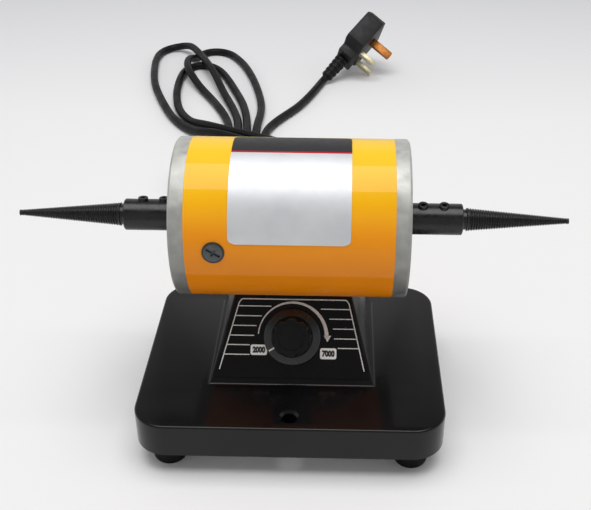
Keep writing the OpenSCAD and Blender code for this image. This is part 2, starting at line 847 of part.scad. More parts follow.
module through_bolts() {
    under_head = cap_out - bolt_sink;
    color("#8f9194") for (a = [90, 270])
        round_motor(0, a) translate([-under_head, 0, bolt_r]) rotate([0, 90, 0])
            screw([bolt_d, bolt_head_d, bolt_head_h, 0], 2 * under_head + bolt_nut_h);
}

module through_bolt_nuts() {
    color("#8f9194") for (a = [90, 270])
        round_motor(0, a) translate([cap_out - bolt_sink, 0, bolt_r]) rotate([0, 90, 0])
            nut(bolt_nut_af, bolt_nut_h, bolt_d + 2 * slip);
}

module magnets() {
    half = magnet_span / 2;
    reach = 2 * motor_r;
    color("#3a3b3e") on_shaft(magnet_mid - magnet_len / 2) linear_extrude(magnet_len)
        for (s = [0, 180]) rotate([0, 0, s]) intersection() {
            difference() {
                circle(r = magnet_in_r + magnet_t);
                circle(r = magnet_in_r);
            }
            polygon([
                [0, 0], [-reach * sin(half), reach * cos(half)], [-reach, reach],
                [reach, reach], [reach * sin(half), reach * cos(half)]
            ]);
        }
}

module each_brush() {
    for (s = [0, 180]) round_motor(-brush_x, s - brush_lift) children();
}

module brush_holders() {
    color("#2a1d18") each_brush() difference() {
        translate([0, 0, holder_in]) cylinder(h = holder_out - holder_in, r = holder_d / 2);
        translate([-brush_w / 2 - run, -brush_t / 2 - run, 0])
            cube([brush_w + 2 * run, brush_t + 2 * run, cap_seat_r + eps]);
        translate([0, 0, cap_seat_r]) cylinder(h = cap_screw_h + cut, r = brush_cap_d / 2 + slip);
    }
}

module brushes() {
    color("#2b2b2d") each_brush() difference() {
        translate([-brush_w / 2, -brush_t / 2, comm_r - 2])
            cube([brush_w, brush_t, brush_in + brush_len - comm_r + 2]);
        translate([-brush_w, 0, 0]) rotate([0, 90, 0]) cylinder(h = 2 * brush_w, r = brush_in);
    }
}

module brush_springs() {
    turns = 4;
    steps = 10;
    low = brush_in + brush_len + spring_wire / 2 + run;
    high = cap_seat_r - spring_wire / 2 - run;
    color("#b8b4a8") each_brush() tube([
        for (i = [0:turns * steps])
            let (a = i * 360 / steps)
            [spring_r * cos(a), spring_r * sin(a), low + (high - low) * i / (turns * steps)]
    ], spring_wire / 2, 6);
}

module brush_caps() {
    slot_w = 1.2;
    slot_l = 7.4;
    cross_l = 3.6;
    proud = 0.2;
    color("#1d1d1f") each_brush() difference() {
        translate([0, 0, cap_seat_r]) cylinder(h = cap_screw_h + proud, r = brush_cap_d / 2);
        rotate([0, 0, -31]) {
            translate([-slot_l / 2, -slot_w / 2, holder_out - 1.2]) cube([slot_l, slot_w, 3]);
            translate([-slot_w / 2, -cross_l / 2, holder_out - 1.2]) cube([slot_w, cross_l, 3]);
        }
    }
}

module motor_mount_screws() {
    head_seat = motor_r + seat + wall + 0.05;
    color("#8f9194") for (x = [-mount_x, mount_x], a = MOUNT_ANGLES)
        round_motor(x, a) translate([0, 0, head_seat]) mirror([0, 0, 1])
            screw(mount_screw, head_seat - tube_in_r + 0.4);
}

// The foil, bent round the tube; angles count up from level at the front
module nameplate() {
    reach = 2 * motor_r;
    function out_at(e) = [-reach * sin(e), -reach * cos(e)];
    middle = (label_from + label_to) / 2;
    color("#c9cbcc") on_shaft(-label_w / 2) linear_extrude(label_w) intersection() {
        difference() {
            circle(r = motor_r + foil_glue + foil_t);
            circle(r = motor_r + foil_glue);
        }
        polygon([[0, 0], out_at(label_from), 2 * out_at(middle), out_at(label_to)]);
    }
}

module lead_grommet() {
    color("#1a1a1a") round_motor(lead_x, 270) difference() {
        union() {
            translate([0, 0, tube_in_r - 1]) cylinder(h = motor_r + wall - tube_in_r + 2, r = grommet_r);
            translate([0, 0, motor_r + seat + wall + 0.1]) cylinder(h = 1.2, r = grommet_r + grommet_rim);
        }
        translate([0, 0, tube_in_r - 2 * cut]) cylinder(h = tube_wall + wall + 6 * cut, r = grommet_bore / 2);
    }
}

// Two insulated leads from the brush holders, round inside the tube and down to the board
module motor_leads() {
    inside = tube_in_r - lead_d / 2 - 1.5;
    beside = lead_d / 2 + 0.3;
    top = board_top + block_h;
    for (s = [-1, 1]) color(s < 0 ? "#b03026" : "#2a2a2a") {
        start = s < 0 ? 180 + brush_lift + lead_off : 360 - lead_off - brush_lift - 4;
        stop = s < 0 ? 262 : 278;
        ring_run = [
            for (i = [0:6])
                let (a = start + (stop - start) * i / 6)
                [-brush_x + (brush_x + lead_x - 0.5) * i / 6,
                    axis_back + inside * cos(a), axis_z + inside * sin(a)]
        ];
        drop = [
            [lead_x, axis_back + s * beside, axis_z - tube_in_r + 0.4],
            [lead_x, axis_back + s * beside, axis_z - motor_r - wall - 3],
            [lead_x + 2, axis_back + s * (beside + 0.8), top_z + 20],
            [block_x + block_l - 8 + s * clamp_pitch / 2, block_y + block_d + 1, top + 4],
            [block_x + block_l - clamp_pitch * (1 - s / 2), block_y + block_d / 2, top + 2],
            [block_x + block_l - clamp_pitch * (1 - s / 2), block_y + block_d / 2, top + 0.05]
        ];
        tube(smooth(concat(ring_run, drop), 3), lead_d / 2);
    }
}

module outer_ring() {
    on_shaft(brg_inner) rotate_extrude() difference() {
        translate([outer_ring_r, 0]) square([brg_d / 2 - slip - outer_ring_r, brg_w]);
        translate([pitch_r, brg_w / 2]) circle(r = race_r);
    }
}

module left_outer_ring() {
    color("#c4c6c9") mirror([1, 0, 0]) outer_ring();
}

module right_outer_ring() {
    color("#c4c6c9") outer_ring();
}

// ---- Rotor ----

module shaft() {
    color("#8a8d91") {
        on_shaft(-brg_inner) cylinder(h = 2 * brg_inner, r = shaft_d / 2);
        on_shaft(-brg_outer) cylinder(h = 2 * brg_outer, r = journal_d / 2);
        on_shaft(-shaft_to) cylinder(h = 2 * shaft_to, r = shaft_end_d / 2);
    }
}

module armature_core() {
    color("#5d5f63") on_shaft(core_from) linear_extrude(core_len) difference() {
        circle(r = core_r);
        circle(r = shaft_d / 2 + slip);
        for (i = [0:slots - 1]) rotate([0, 0, i * 360 / slots]) {
            translate([slot_at, 0]) circle(r = slot_r);
            translate([slot_at, -0.9]) square([core_r, 1.8]);
        }
    }
}

module windings() {
    hub = shaft_d / 2 + 1.5;
    rim = slot_at + slot_r;
    comm_gap = core_from - coil_len / 2 - comm_to - riser_t;
    color("#b5622c") difference() {
        union() {
            on_shaft(core_from - coil_len / 2) cylinder(h = core_len + coil_len / 2 + coil_len, r = 0.5);
            on_shaft(core_to) cylinder(h = coil_len, r = rim);
            on_shaft(core_from - coil_len / 2) cylinder(h = coil_len / 2, r = rim);
            on_shaft(comm_to + riser_t) cylinder(h = comm_gap + eps, r1 = comm_r, r2 = rim);
            for (i = [0:slots - 1]) on_shaft(core_from - eps) rotate([0, 0, i * 360 / slots])
                translate([slot_at, 0, 0]) cylinder(h = core_len + 2 * eps, r = slot_r - 0.15);
        }
        on_shaft(-motor_len) cylinder(h = 2 * motor_len, r = hub);
    }
}

module commutator() {
    groove = 0.5;
    color("#b87345") difference() {
        union() {
            on_shaft(comm_from) cylinder(h = comm_len, r = comm_r);
            on_shaft(comm_to - eps) cylinder(h = riser_t, r = comm_r + 1.2);
        }
        on_shaft(comm_from - cut) cylinder(h = comm_len + riser_t + 2 * cut, r = shaft_d / 2 + slip);
        for (i = [0:comm_bars - 1]) on_shaft(comm_from - cut) rotate([0, 0, i * 360 / comm_bars])
            translate([comm_r - 0.8, -groove / 2, 0]) cube([4, groove, comm_len + riser_t + 2 * cut]);
    }
}

module inner_ring() {
    on_shaft(brg_inner) rotate_extrude() difference() {
        translate([journal_d / 2 + slip, 0]) square([inner_ring_r - journal_d / 2 - slip, brg_w]);
        translate([pitch_r, brg_w / 2]) circle(r = race_r);
    }
}

module left_inner_ring() {
    color("#c4c6c9") mirror([1, 0, 0]) inner_ring();
}

module right_inner_ring() {
    color("#c4c6c9") inner_ring();
}

// One ring of balls in its cage
module ball_set() {
    on_shaft(brg_inner + brg_w / 2) {
        for (i = [0:balls - 1]) rotate([0, 0, i * 360 / balls]) translate([pitch_r, 0, 0])
            sphere(r = ball_d / 2);
        difference() {
            translate([0, 0, -cage_w / 2]) ring(pitch_r + cage_half_t, pitch_r - cage_half_t, cage_w);
            for (i = [0:balls - 1]) rotate([0, 0, i * 360 / balls]) rotate([0, 90, 0])
                cylinder(h = 2 * pitch_r, r = race_r);
        }
    }
}

module left_balls() {
    color("#d4d6d9") mirror([1, 0, 0]) ball_set();
}

module right_balls() {
    color("#d4d6d9") ball_set();
}

// The right collar with its tapered thread; turn places its grub screws
module spindle(turn) {
    ridges = floor(taper_len / thread_pitch);
    edge = 0.5;
    function root_at(x) = taper_d / 2 + (tip_d - taper_d) / 2 * x / taper_len;
    difference() {
        union() {
            on_shaft(collar_from) rotate_extrude() polygon([
                [0, 0], [collar_d / 2 - edge, 0], [collar_d / 2, edge],
                [collar_d / 2, collar_len - edge], [collar_d / 2 - edge, collar_len], [0, collar_len]
            ]);
            on_shaft(collar_to - eps) cylinder(h = neck_len + 2 * eps, r = neck_d / 2);
            on_shaft(taper_from) rotate_extrude() polygon([
                [0, 0],
                for (i = [0:ridges - 1]) each [
                    [root_at(i * thread_pitch) - thread_depth, i * thread_pitch],
                    [root_at((i + 0.5) * thread_pitch), (i + 0.5) * thread_pitch]
                ],
                [tip_d / 2 - thread_depth, taper_len - 0.3],
                [tip_d / 2 - thread_depth - 0.3, taper_len],
                [0, taper_len]
            ]);
        }
        on_shaft(collar_from - cut) cylinder(h = socket_to - collar_from + cut, r = shaft_end_d / 2 + slip);
        for (x = grub_places) round_motor(x, turn) cylinder(h = collar_d, r = grub_d / 2 + slip);
    }
}

module grub_screws(turn) {
    long = collar_d / 2 + grub_proud - shaft_end_d / 2 - slip;
    for (x = grub_places) round_motor(x, turn) translate([0, 0, shaft_end_d / 2 + slip]) difference() {
        cylinder(h = long, r = grub_d / 2);
        translate([0, 0, long - 2]) cylinder(h = 3, r = grub_d / 4, $fn = 6);
    }
}

module left_spindle() {
    color("#2b2b2e") mirror([1, 0, 0]) spindle(180 - left_grub_turn);
}

module right_spindle() {
    color("#2b2b2e") spindle(180 - right_grub_turn);
}

module left_grub_screws() {
    color("#3c3d40") mirror([1, 0, 0]) grub_screws(180 - left_grub_turn);
}

module right_grub_screws() {
    color("#3c3d40") grub_screws(180 - right_grub_turn);
}

// ---- Cord and plug ----

module cord_clamp() {
    color("#e8e4da") translate([-cord_left, clamp_y, plate_top]) difference() {
        translate([-clamp_half - 3, -4, 0]) cube([2 * clamp_half + 6, 8, clamp_h]);
        translate([0, 5, cord_z - plate_top]) rotate([90, 0, 0]) cylinder(h = 10, r = cord_d / 2 + slip);
        for (s = [-1, 1]) translate([s * clamp_half, 0, -cut])
            cylinder(h = clamp_h + 2 * cut, r = clamp_screw[0] / 2 + slip);
    }
}

module clamp_screws() {
    color("#9a9ca0") for (s = [-1, 1])
        translate([-cord_left + s * clamp_half, clamp_y, plate_top + clamp_h]) mirror([0, 0, 1])
            screw(clamp_screw, clamp_h + plate_t);
}

// The sheathed end inside the base and its two cores to the terminal block
module mains_lead() {
    beside = core_d / 2 + 0.3;
    top = board_top + block_h;
    color("#202022") translate([-cord_left, boot_in, cord_z]) rotate([90, 0, 0])
        cylinder(h = boot_in - sheath_end, r = cord_d / 2);
    for (s = [-1, 1]) color(s < 0 ? "#7a4a28" : "#2f5fa8") tube(smooth([
        [-cord_left + s * beside, sheath_end, cord_z],
        [-cord_left + s * beside - 1, sheath_end - 3, board_top + 5],
        [-board_w / 2 + 1.5 + s * beside, board_y + 8, board_top + 7],
        [-board_w / 2 + 2.5 + s * beside, board_y - 10, board_top + 9],
        [block_x + 1 + s * clamp_pitch / 2, block_y + block_d - 1, top + 3],
        [block_x + clamp_pitch * (1 + s / 2), block_y + block_d / 2, top + 2],
        [block_x + clamp_pitch * (1 + s / 2), block_y + block_d / 2, top + 0.05]
    ], 3), core_d / 2);
}

module cord_boot() {
    ribs = 6;
    pitch = (boot_len - 8) / ribs;
    function boot_r(y) = gland_d / 2 + 1 + (boot_tip_d / 2 - gland_d / 2 - 1) * y / boot_len;
    color("#191919") translate([-cord_left, rear_y, cord_z]) rotate([-90, 0, 0]) rotate_extrude() polygon([
        [0, boot_in - rear_y], [gland_d / 2 + 1.2, boot_in - rear_y],
        [gland_d / 2 + 1.2, -wall - 0.1], [gland_d / 2, -wall - 0.1],
        [gland_d / 2, 0.1], [gland_d / 2 + 1.6, 0.1], [gland_d / 2 + 1.6, 4],
        for (i = [0:ribs - 1]) each [
            [boot_r(4 + i * pitch), 4 + i * pitch],
            [boot_r(4 + (i + 0.6) * pitch), 4 + (i + 0.6) * pitch],
            [boot_r(4 + (i + 0.6) * pitch) - 0.7, 4 + (i + 0.6) * pitch],
            [boot_r(4 + (i + 1) * pitch) - 0.7, 4 + (i + 1) * pitch]
        ],
        [boot_tip_d / 2, boot_len - 4], [boot_tip_d / 2, boot_len], [0, boot_len]
    ]);
}

// Turns a point of the plug's own axes into the part's
function plug_point(p) = let (
    a = [p.x, p.y * cos(plug_roll) - p.z * sin(plug_roll), p.y * sin(plug_roll) + p.z * cos(plug_roll)],
    b = [a.x * cos(plug_lift) - a.z * sin(plug_lift), a.y, a.x * sin(plug_lift) + a.z * cos(plug_lift)]
) plug_at + [
    b.x * cos(plug_head) - b.y * sin(plug_head),
    b.x * sin(plug_head) + b.y * cos(plug_head),
    b.z
];

module on_plug() {
    translate(plug_at) rotate([plug_roll, -plug_lift, plug_head]) children();
}

// The cord leaves the relief along its axis, comes down to the bench in an arc, and turns a little
// as it does so: its point where it has levelled out by t degrees
relief_end = plug_point([-relief_len - eps, 0, relief_mid]);
cord_low = cord_d / 2 + 0.1;
settle_r = (relief_end.z - cord_low) / (1 - cos(plug_lift));
settle_turn = 16;
function settled(t) = let (
    run = settle_r * (sin(plug_lift) - sin(plug_lift - t)),
    head = plug_head + settle_turn * t / plug_lift
) relief_end - [run * cos(head), run * sin(head), settle_r * (cos(plug_lift - t) - cos(plug_lift))];

module cord() {
    straight = 0.6;  // at each end, so that its end faces are square to what they meet
    from = [-cord_left, boot_end + eps, cord_z];
    route = concat(
        [from + [0, straight, 0], from + [0, 9, 0]],
        CORD,
        [for (t = [plug_lift:-plug_lift / 3:1]) settled(t)],
        [relief_end + straight * unit(relief_end - plug_point([0, 0, relief_mid]))]
    );
    color("#1a1a1b") tube(concat([from], route, [relief_end]), cord_d / 2, 10);
}

module plug_relief() {
    ribs = 5;
    pitch = (relief_len - 4) / ribs;
    function relief_r(x) = cord_d / 2 + 2 + 1.4 * x / relief_len;
    color("#1b1b1c") on_plug() translate([-relief_len, 0, relief_mid])
        rotate([0, 90, 0]) rotate_extrude() polygon([
        [0, 0], [relief_r(0), 0], [relief_r(0), 4],
        for (i = [0:ribs - 1]) each [
            [relief_r(4 + i * pitch) - 0.9, 4 + i * pitch],
            [relief_r(4 + (i + 0.4) * pitch) - 0.9, 4 + (i + 0.4) * pitch],
            [relief_r(4 + (i + 0.4) * pitch), 4 + (i + 0.4) * pitch],
            [relief_r(4 + (i + 1) * pitch), 4 + (i + 1) * pitch]
        ],
        [0, relief_len]
    ]);
}

module plug_body() {
    neck = plug_w * 0.6;
    bevel = 5;
    color("#1d1d1f") on_plug() intersection() {
        linear_extrude(plug_t) polygon([
            [0, -neck / 2], [8, -neck / 2], [14, -plug_w / 2], [plug_l - bevel, -plug_w / 2],
            [plug_l, bevel - plug_w / 2], [plug_l, plug_w / 2 - bevel], [plug_l - bevel, plug_w / 2],
            [14, plug_w / 2], [8, neck / 2], [0, neck / 2]
        ]);
        translate([0, plug_w, 0]) rotate([90, 0, 0]) linear_extrude(2 * plug_w) polygon([
            [0, 1.5], [8, 1.5], [9, 0], [plug_l, 0], [plug_l, plug_t - 3],
            [plug_l - 3, plug_t], [12, plug_t], [9, plug_t - 1.6], [0, plug_t - 1.6]
        ]);
    }
}

// A flat pin of size a by b, l long, standing down from the pin face
module pin(a, b, l) {
    tip = 1;
    intersection() {
        translate([-a / 2, b / 2, 0]) rotate([90, 0, 0]) linear_extrude(b) polygon([
            [0, 0], [a, 0], [a, tip - l], [a - tip, -l], [tip, -l], [0, tip - l]
        ]);
        translate([-a / 2, -b / 2, -l]) cube([a, b, l]);
    }
}

module plug_earth_pin() {
    color("#b8763a") on_plug() translate([earth_pin_u, 0, 0]) pin(8, 4, earth_pin_l);
}

module plug_line_pins() {
    color("#cdb98a") on_plug() for (s = [-1, 1])
        translate([line_pin_u, s * line_pin_apart / 2, 0]) pin(4, 6.35, line_pin_l);
}

base_housing();
bottom_plate();
plate_screws();
feet();
foot_screws();
foot_nuts();
control_plate();
potentiometer();
pot_nut();
control_board();
standoffs();
board_screws();
heat_sink();
triac();
capacitor();
choke();
rectifier();
terminal_block();
fuse();
fuse_clips();
motor_tube();
left_end_cap();
right_end_cap();
through_bolts();
through_bolt_nuts();
magnets();
brush_holders();
brushes();
brush_springs();
brush_caps();
motor_mount_screws();
nameplate();
lead_grommet();
motor_leads();
left_outer_ring();
right_outer_ring();
cord_clamp();
clamp_screws();
mains_lead();
cord_boot();
cord();
plug_relief();
plug_body();
plug_earth_pin();
plug_line_pins();
shaft();
armature_core();
windings();
commutator();
left_inner_ring();
right_inner_ring();
left_spindle();
right_spindle();
left_grub_screws();
right_grub_screws();
left_balls();
right_balls();
knob();
pot_shaft();
knob_screw();
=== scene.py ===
# %% [markdown]
# # A small dental polishing lathe
# The machine is a tube motor lying on a black base, with a threaded taper at each end for
# screw-on wheels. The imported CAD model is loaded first. It fixes every size and place, and the
# cells below dress it: finer shapes where the eye needs them, and a finish for every piece.

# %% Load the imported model
import json
import math

import bmesh
import bpy
from mathutils import Matrix, Vector


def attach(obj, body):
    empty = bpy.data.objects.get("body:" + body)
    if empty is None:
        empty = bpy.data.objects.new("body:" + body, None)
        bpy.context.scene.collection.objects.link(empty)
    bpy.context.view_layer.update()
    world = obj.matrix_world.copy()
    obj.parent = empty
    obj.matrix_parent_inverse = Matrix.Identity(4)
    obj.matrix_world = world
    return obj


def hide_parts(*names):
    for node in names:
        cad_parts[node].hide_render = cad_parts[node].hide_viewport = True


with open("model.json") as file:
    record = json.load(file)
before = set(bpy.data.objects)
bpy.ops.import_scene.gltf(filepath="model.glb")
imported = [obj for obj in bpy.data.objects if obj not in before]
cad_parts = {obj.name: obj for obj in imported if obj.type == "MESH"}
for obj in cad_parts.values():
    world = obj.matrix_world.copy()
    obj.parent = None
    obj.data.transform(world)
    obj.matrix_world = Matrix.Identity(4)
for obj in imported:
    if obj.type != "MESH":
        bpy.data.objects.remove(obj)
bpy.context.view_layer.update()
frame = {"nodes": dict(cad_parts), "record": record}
NODES = frame["nodes"]
MM = 0.001


def linked(name, data):
    """An object of the scene, made from its data."""
    obj = bpy.data.objects.new(name, data)
    bpy.context.scene.collection.objects.link(obj)
    return obj


# %% [markdown]
# ## Camera
# The camera stands a little to the right of the middle, 345 mm over the bench, and looks 32
# degrees down through a longish lens. Its direction is built from three unit vectors.

# %% Camera
CAM_AT = Vector((0.02305, -0.40847, 0.34478))
PITCH, YAW, ROLL = math.radians(32.0), math.radians(0.864), math.radians(0.49)
FOCAL_PX, WIDTH_PX, HEIGHT_PX = 938.0, 591.0, 510.0
CENTRE_PX = (326.06, 259.5)
SENSOR_MM = 36

look = Vector((-math.sin(YAW) * math.cos(PITCH), math.cos(YAW) * math.cos(PITCH), -math.sin(PITCH)))
level = Vector((math.cos(YAW), math.sin(YAW), 0))
above = level.cross(look)
right = level * math.cos(ROLL) + above * math.sin(ROLL)
up = -level * math.sin(ROLL) + above * math.cos(ROLL)

cam_data = bpy.data.cameras.new("camera")
cam_data.sensor_fit = "HORIZONTAL"
cam_data.sensor_width = SENSOR_MM
cam_data.lens = FOCAL_PX / WIDTH_PX * SENSOR_MM
cam_data.shift_x = (WIDTH_PX / 2 - CENTRE_PX[0]) / WIDTH_PX
cam_data.shift_y = (CENTRE_PX[1] - HEIGHT_PX / 2) / WIDTH_PX
cam_data.clip_start, cam_data.clip_end = 0.01, 20
camera = linked("camera", cam_data)
camera.matrix_world = Matrix((
    (right.x, up.x, -look.x, CAM_AT.x),
    (right.y, up.y, -look.y, CAM_AT.y),
    (right.z, up.z, -look.z, CAM_AT.z),
    (0, 0, 0, 1),
))
bpy.context.scene.camera = camera
print("camera lens %.1f mm" % cam_data.lens)

# %% [markdown]
# ## Finishes
# A finish here is more than a colour. On a real surface the tone drifts a little, the gloss
# changes from place to place, and there is a fine grain that catches light. One recipe makes all
# three from noise on Object coordinates, so the grain keeps its real size on every piece. What is
# the same all over goes straight onto the shader's own sockets.

# %% Finish recipe
def rgb(text):
    """A colour written as on a paint card, turned into the light values the shader wants."""
    parts = [int(text[i:i + 2], 16) / 255 for i in (1, 3, 5)]
    return [c / 12.92 if c <= 0.04045 else ((c + 0.055) / 1.055) ** 2.4 for c in parts] + [1.0]


class Nodes:
    """Short ways to add and join the nodes of one tree."""

    def __init__(self, tree):
        self.tree = tree

    def add(self, kind, **settings):
        node = self.tree.nodes.new(kind)
        for key, value in settings.items():
            setattr(node, key, value)
        return node

    def feed(self, value, socket):
        """Joins another node's socket, or types a plain value in."""
        if isinstance(value, bpy.types.NodeSocket):
            self.tree.links.new(value, socket)
        else:
            socket.default_value = value

    def made(self, kind, inputs, **settings):
        """Adds a node, feeds its inputs and gives its first output."""
        node = self.add(kind, **settings)
        for key, value in inputs.items():
            self.feed(value, node.inputs[key])
        return node.outputs[0]

    def sum(self, operation, *values):
        return self.made("ShaderNodeMath", dict(enumerate(values)), operation=operation)

    def spread(self, fac, low, high, start=0.3, stop=0.7):
        """Maps start..stop onto low..high. Noise fills about 0.3 to 0.7, so that is the usual."""
        return self.made("ShaderNodeMapRange", {"Value": fac, "From Min": start, "From Max": stop,
                                                "To Min": low, "To Max": high})

    def axes(self, vector):
        node = self.add("ShaderNodeSeparateXYZ")
        self.feed(vector, node.inputs[0])
        return node.outputs

    def vector(self, x, y, z):
        return self.made("ShaderNodeCombineXYZ", {"X": x, "Y": y, "Z": z})


class Finish(Nodes):
    """A material with its Principled shader."""

    def __init__(self, name, rough=0.5, metal=0.0, coat=0.0, coat_rough=0.1, specular=0.5):
        self.mat = bpy.data.materials.new(name)
        self.mat.use_nodes = True
        super().__init__(self.mat.node_tree)
        self.shader = self.tree.nodes["Principled BSDF"]
        for key, value in (("Roughness", rough), ("Metallic", metal), ("Coat Weight", coat),
                           ("Coat Roughness", coat_rough), ("Specular IOR Level", specular)):
            self.shader.inputs[key].default_value = value
        self.place = self.add("ShaderNodeTexCoord").outputs["Object"]

    def shifted(self, shift):
        """Object coordinates moved, so that another point becomes the middle."""
        return self.made("ShaderNodeMapping", {"Vector": self.place, "Location": shift})

    def noise(self, size_mm, detail):
        return self.made("ShaderNodeTexNoise", {
            "Vector": self.place, "Scale": 1 / (size_mm * MM), "Detail": detail})

    def ramp(self, fac, stops):
        r = self.add("ShaderNodeValToRGB")
        while len(r.color_ramp.elements) < len(stops):
            r.color_ramp.elements.new(0.5)
        for e, (at, colour) in zip(r.color_ramp.elements, stops):
            e.position = at
            e.color = colour
        self.feed(fac, r.inputs["Fac"])
        return r.outputs["Color"]

    def mixed(self, share, a, b, blend="MIX"):
        """Two colours mixed or multiplied. Sockets 0, 6 and 7 are the share and the colours."""
        node = self.add("ShaderNodeMix", data_type="RGBA", blend_type=blend)
        for value, at in ((share, 0), (a, 6), (b, 7)):
            self.feed(value, node.inputs[at])
        return node.outputs[2]

    def bump(self, height, depth_mm):
        normal = self.made("ShaderNodeBump", {"Distance": depth_mm * MM, "Height": height})
        self.feed(normal, self.shader.inputs["Normal"])

    def colour(self, socket):
        self.feed(socket, self.shader.inputs["Base Color"])

    def gloss(self, socket):
        self.feed(socket, self.shader.inputs["Roughness"])


def toned(colour, gain):
    return [min(1.0, c * gain) for c in colour[:3]] + [1.0]


def grained(name, colour, rough, metal, patch, drift, grain, depth, vary=0.08, **more):
    """The general finish. The tone drifts by a share `drift` over patches of `patch` mm, the
    roughness by `vary`, and a grain of `grain` mm is `depth` mm deep."""
    f = Finish(name, rough=rough, metal=metal, **more)
    dark, pale = toned(rgb(colour), 1 - drift), toned(rgb(colour), 1 + drift)
    f.colour(f.ramp(f.noise(patch, 4), [(0.3, dark), (0.7, pale)]))
    f.gloss(f.spread(f.noise(patch * 0.45, 3), max(0.02, rough - vary), min(1, rough + vary)))
    f.bump(f.noise(grain, 2), depth)
    return f.mat


print("finish recipe ready")

# %% [markdown]
# ## The mains cord
# A cord is one length of something flexible. It leaves the rear of the base through a bend boot,
# drops to the bench and lies there in a loose hank of three loops, whose strands meet just behind
# the machine. Where it crosses itself it rises over the lower strand in a long low hump. The
# route below is the CAD model's, in millimetres, with a line of the list for each stretch. It is
# smoothed, cut into even steps and relaxed a little, so that no bend has a kink, and becomes a
# curve with a round bevel. A point with no height of its own lies on the bench.

# %% Route of the cord
CORD_D = 7.2
BOOT_END = (-30, 102, 21)
PLUG_AT = Vector((32.8, 484, 14.1))
PLUG_ROLL, PLUG_LIFT, PLUG_HEAD = (math.radians(a) for a in (-52, 31, 44))
SETTLE_TURN = math.radians(16)
RELIEF_LEN, RELIEF_UP = 26, 11
BENCH_UP = 3.7
ROUTE = [
    (-31, 140, 16.5), (-34, 190, 11.1), (-37, 226, 11.2), (-42, 254, 3.9),
    (-50.5, 345), (-50, 400), (-59.5, 455), (-74, 505), (-88, 535),
    (-98, 547), (-111, 551), (-122, 544), (-128, 527, 3.8), (-132, 511, 10.3),
    (-132, 495, 11.2), (-127, 473, 11.1), (-113, 446, 5.3), (-95, 412), (-80, 375),
    (-74.5, 345), (-80, 312), (-98, 284), (-108, 258), (-102, 237),
    (-85, 228), (-70, 238), (-66, 262), (-66.5, 345),
    (-72.5, 385), (-88.5, 432, 5.3), (-105, 478, 11.1), (-126, 528, 11.3), (-137, 550, 9.7),
    (-149, 560, 5.3), (-161, 557), (-168, 542), (-168, 512), (-158, 454),
    (-136, 392), (-119, 360),
    (-102, 341, 5.3), (-84, 327, 11.2), (-33, 298, 11.2), (-14, 287, 11.2), (4, 279, 4.6),
    (24, 275), (41, 281), (46, 293), (39, 305), (16, 311),
    (-12, 312, 5.3),
    (-32, 312, 11.2), (-78, 335, 11.2), (-96, 349, 9), (-111, 366, 4.1), (-125, 393),
    (-133.5, 432), (-136, 474), (-134, 493), (-127, 506), (-116, 510),
    (-105, 502), (-94, 484), (-80, 446), (-66, 400), (-58.5, 345),
    (-57, 262), (-49, 235), (-38, 219), (-23, 213), (-9, 221),
    (-5, 240), (-13, 268),
    (-30, 300), (-39, 322), (-42.5, 345), (-33, 372), (-17, 402),
    (-6, 432)
]
PLUG_TURN = (Matrix.Rotation(PLUG_HEAD, 4, "Z") @ Matrix.Rotation(-PLUG_LIFT, 4, "Y")
             @ Matrix.Rotation(PLUG_ROLL, 4, "X"))


def on_plug(x, y, z):
    """A point of the plug's own axes, in the part's millimetres."""
    return PLUG_AT + PLUG_TURN @ Vector((x, y, z))


def smoothed(points, steps):
    """A curve that passes through every point, in short straight steps."""
    out, last = [], len(points) - 1
    for i in range(last):
        a, b, c, d = (points[max(i - 1, 0)], points[i], points[i + 1], points[min(i + 2, last)])
        for j in range(steps):
            t = j / steps
            out.append(0.5 * (2 * b + (c - a) * t + (2 * a - 5 * b + 4 * c - d) * t * t
                              + (3 * b - a - 3 * c + d) * t ** 3))
    return out + [points[last]]


def evened(points, step):
    """The same line cut into steps of one length."""
    ends = [0.0]
    for a, b in zip(points, points[1:]):
        ends.append(ends[-1] + (b - a).length)
    count = round(ends[-1] / step)
    out, i = [], 0
    for k in range(count):
        at = ends[-1] * k / count
        while ends[i + 1] < at:
            i += 1
        out.append(points[i].lerp(points[i + 1], (at - ends[i]) / (ends[i + 1] - ends[i])))
    return out + [points[-1]]


def relaxed(points, rounds, floor, held=8):
    """Moves each point towards its neighbours' middle, and keeps the line over the bench."""
    for _ in range(rounds):
        moved = [p.copy() for p in points]
        for i in range(held, len(points) - held):
            moved[i] = points[i] * 0.5 + (points[i - 1] + points[i + 1]) * 0.25
            moved[i].z = max(moved[i].z, floor)
        points = moved
    return points


def settled(end, turned, low):
    """Where the cord is once it has levelled out by so many degrees after the plug's relief."""
    lift, part = PLUG_LIFT, math.radians(turned)
    radius = (end.z - low) / (1 - math.cos(lift))
    run = radius * (math.sin(lift) - math.sin(lift - part))
    head = PLUG_HEAD + SETTLE_TURN * part / lift
    return end - Vector((run * math.cos(head), run * math.sin(head),
                         radius * (math.cos(lift - part) - math.cos(lift))))


RELIEF_END = on_plug(-RELIEF_LEN, 0, RELIEF_UP)
route = [Vector(p if len(p) == 3 else (*p, BENCH_UP)) for p in [BOOT_END, (-30, 111, 21)] + ROUTE]
route += [settled(RELIEF_END, t, CORD_D / 2 + 0.1) for t in (31, 21, 10, 0)]
line = relaxed(evened(smoothed(route, steps=8), step=3), rounds=12, floor=CORD_D / 2 + 0.05)

# %% Cord sheath
def stand_in(obj, body, slot_name, *nodes):
    """Puts a finished piece on its body, in place of the CAD nodes that it shows."""
    if nodes:
        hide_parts(*nodes)
    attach(obj, body)
    return obj


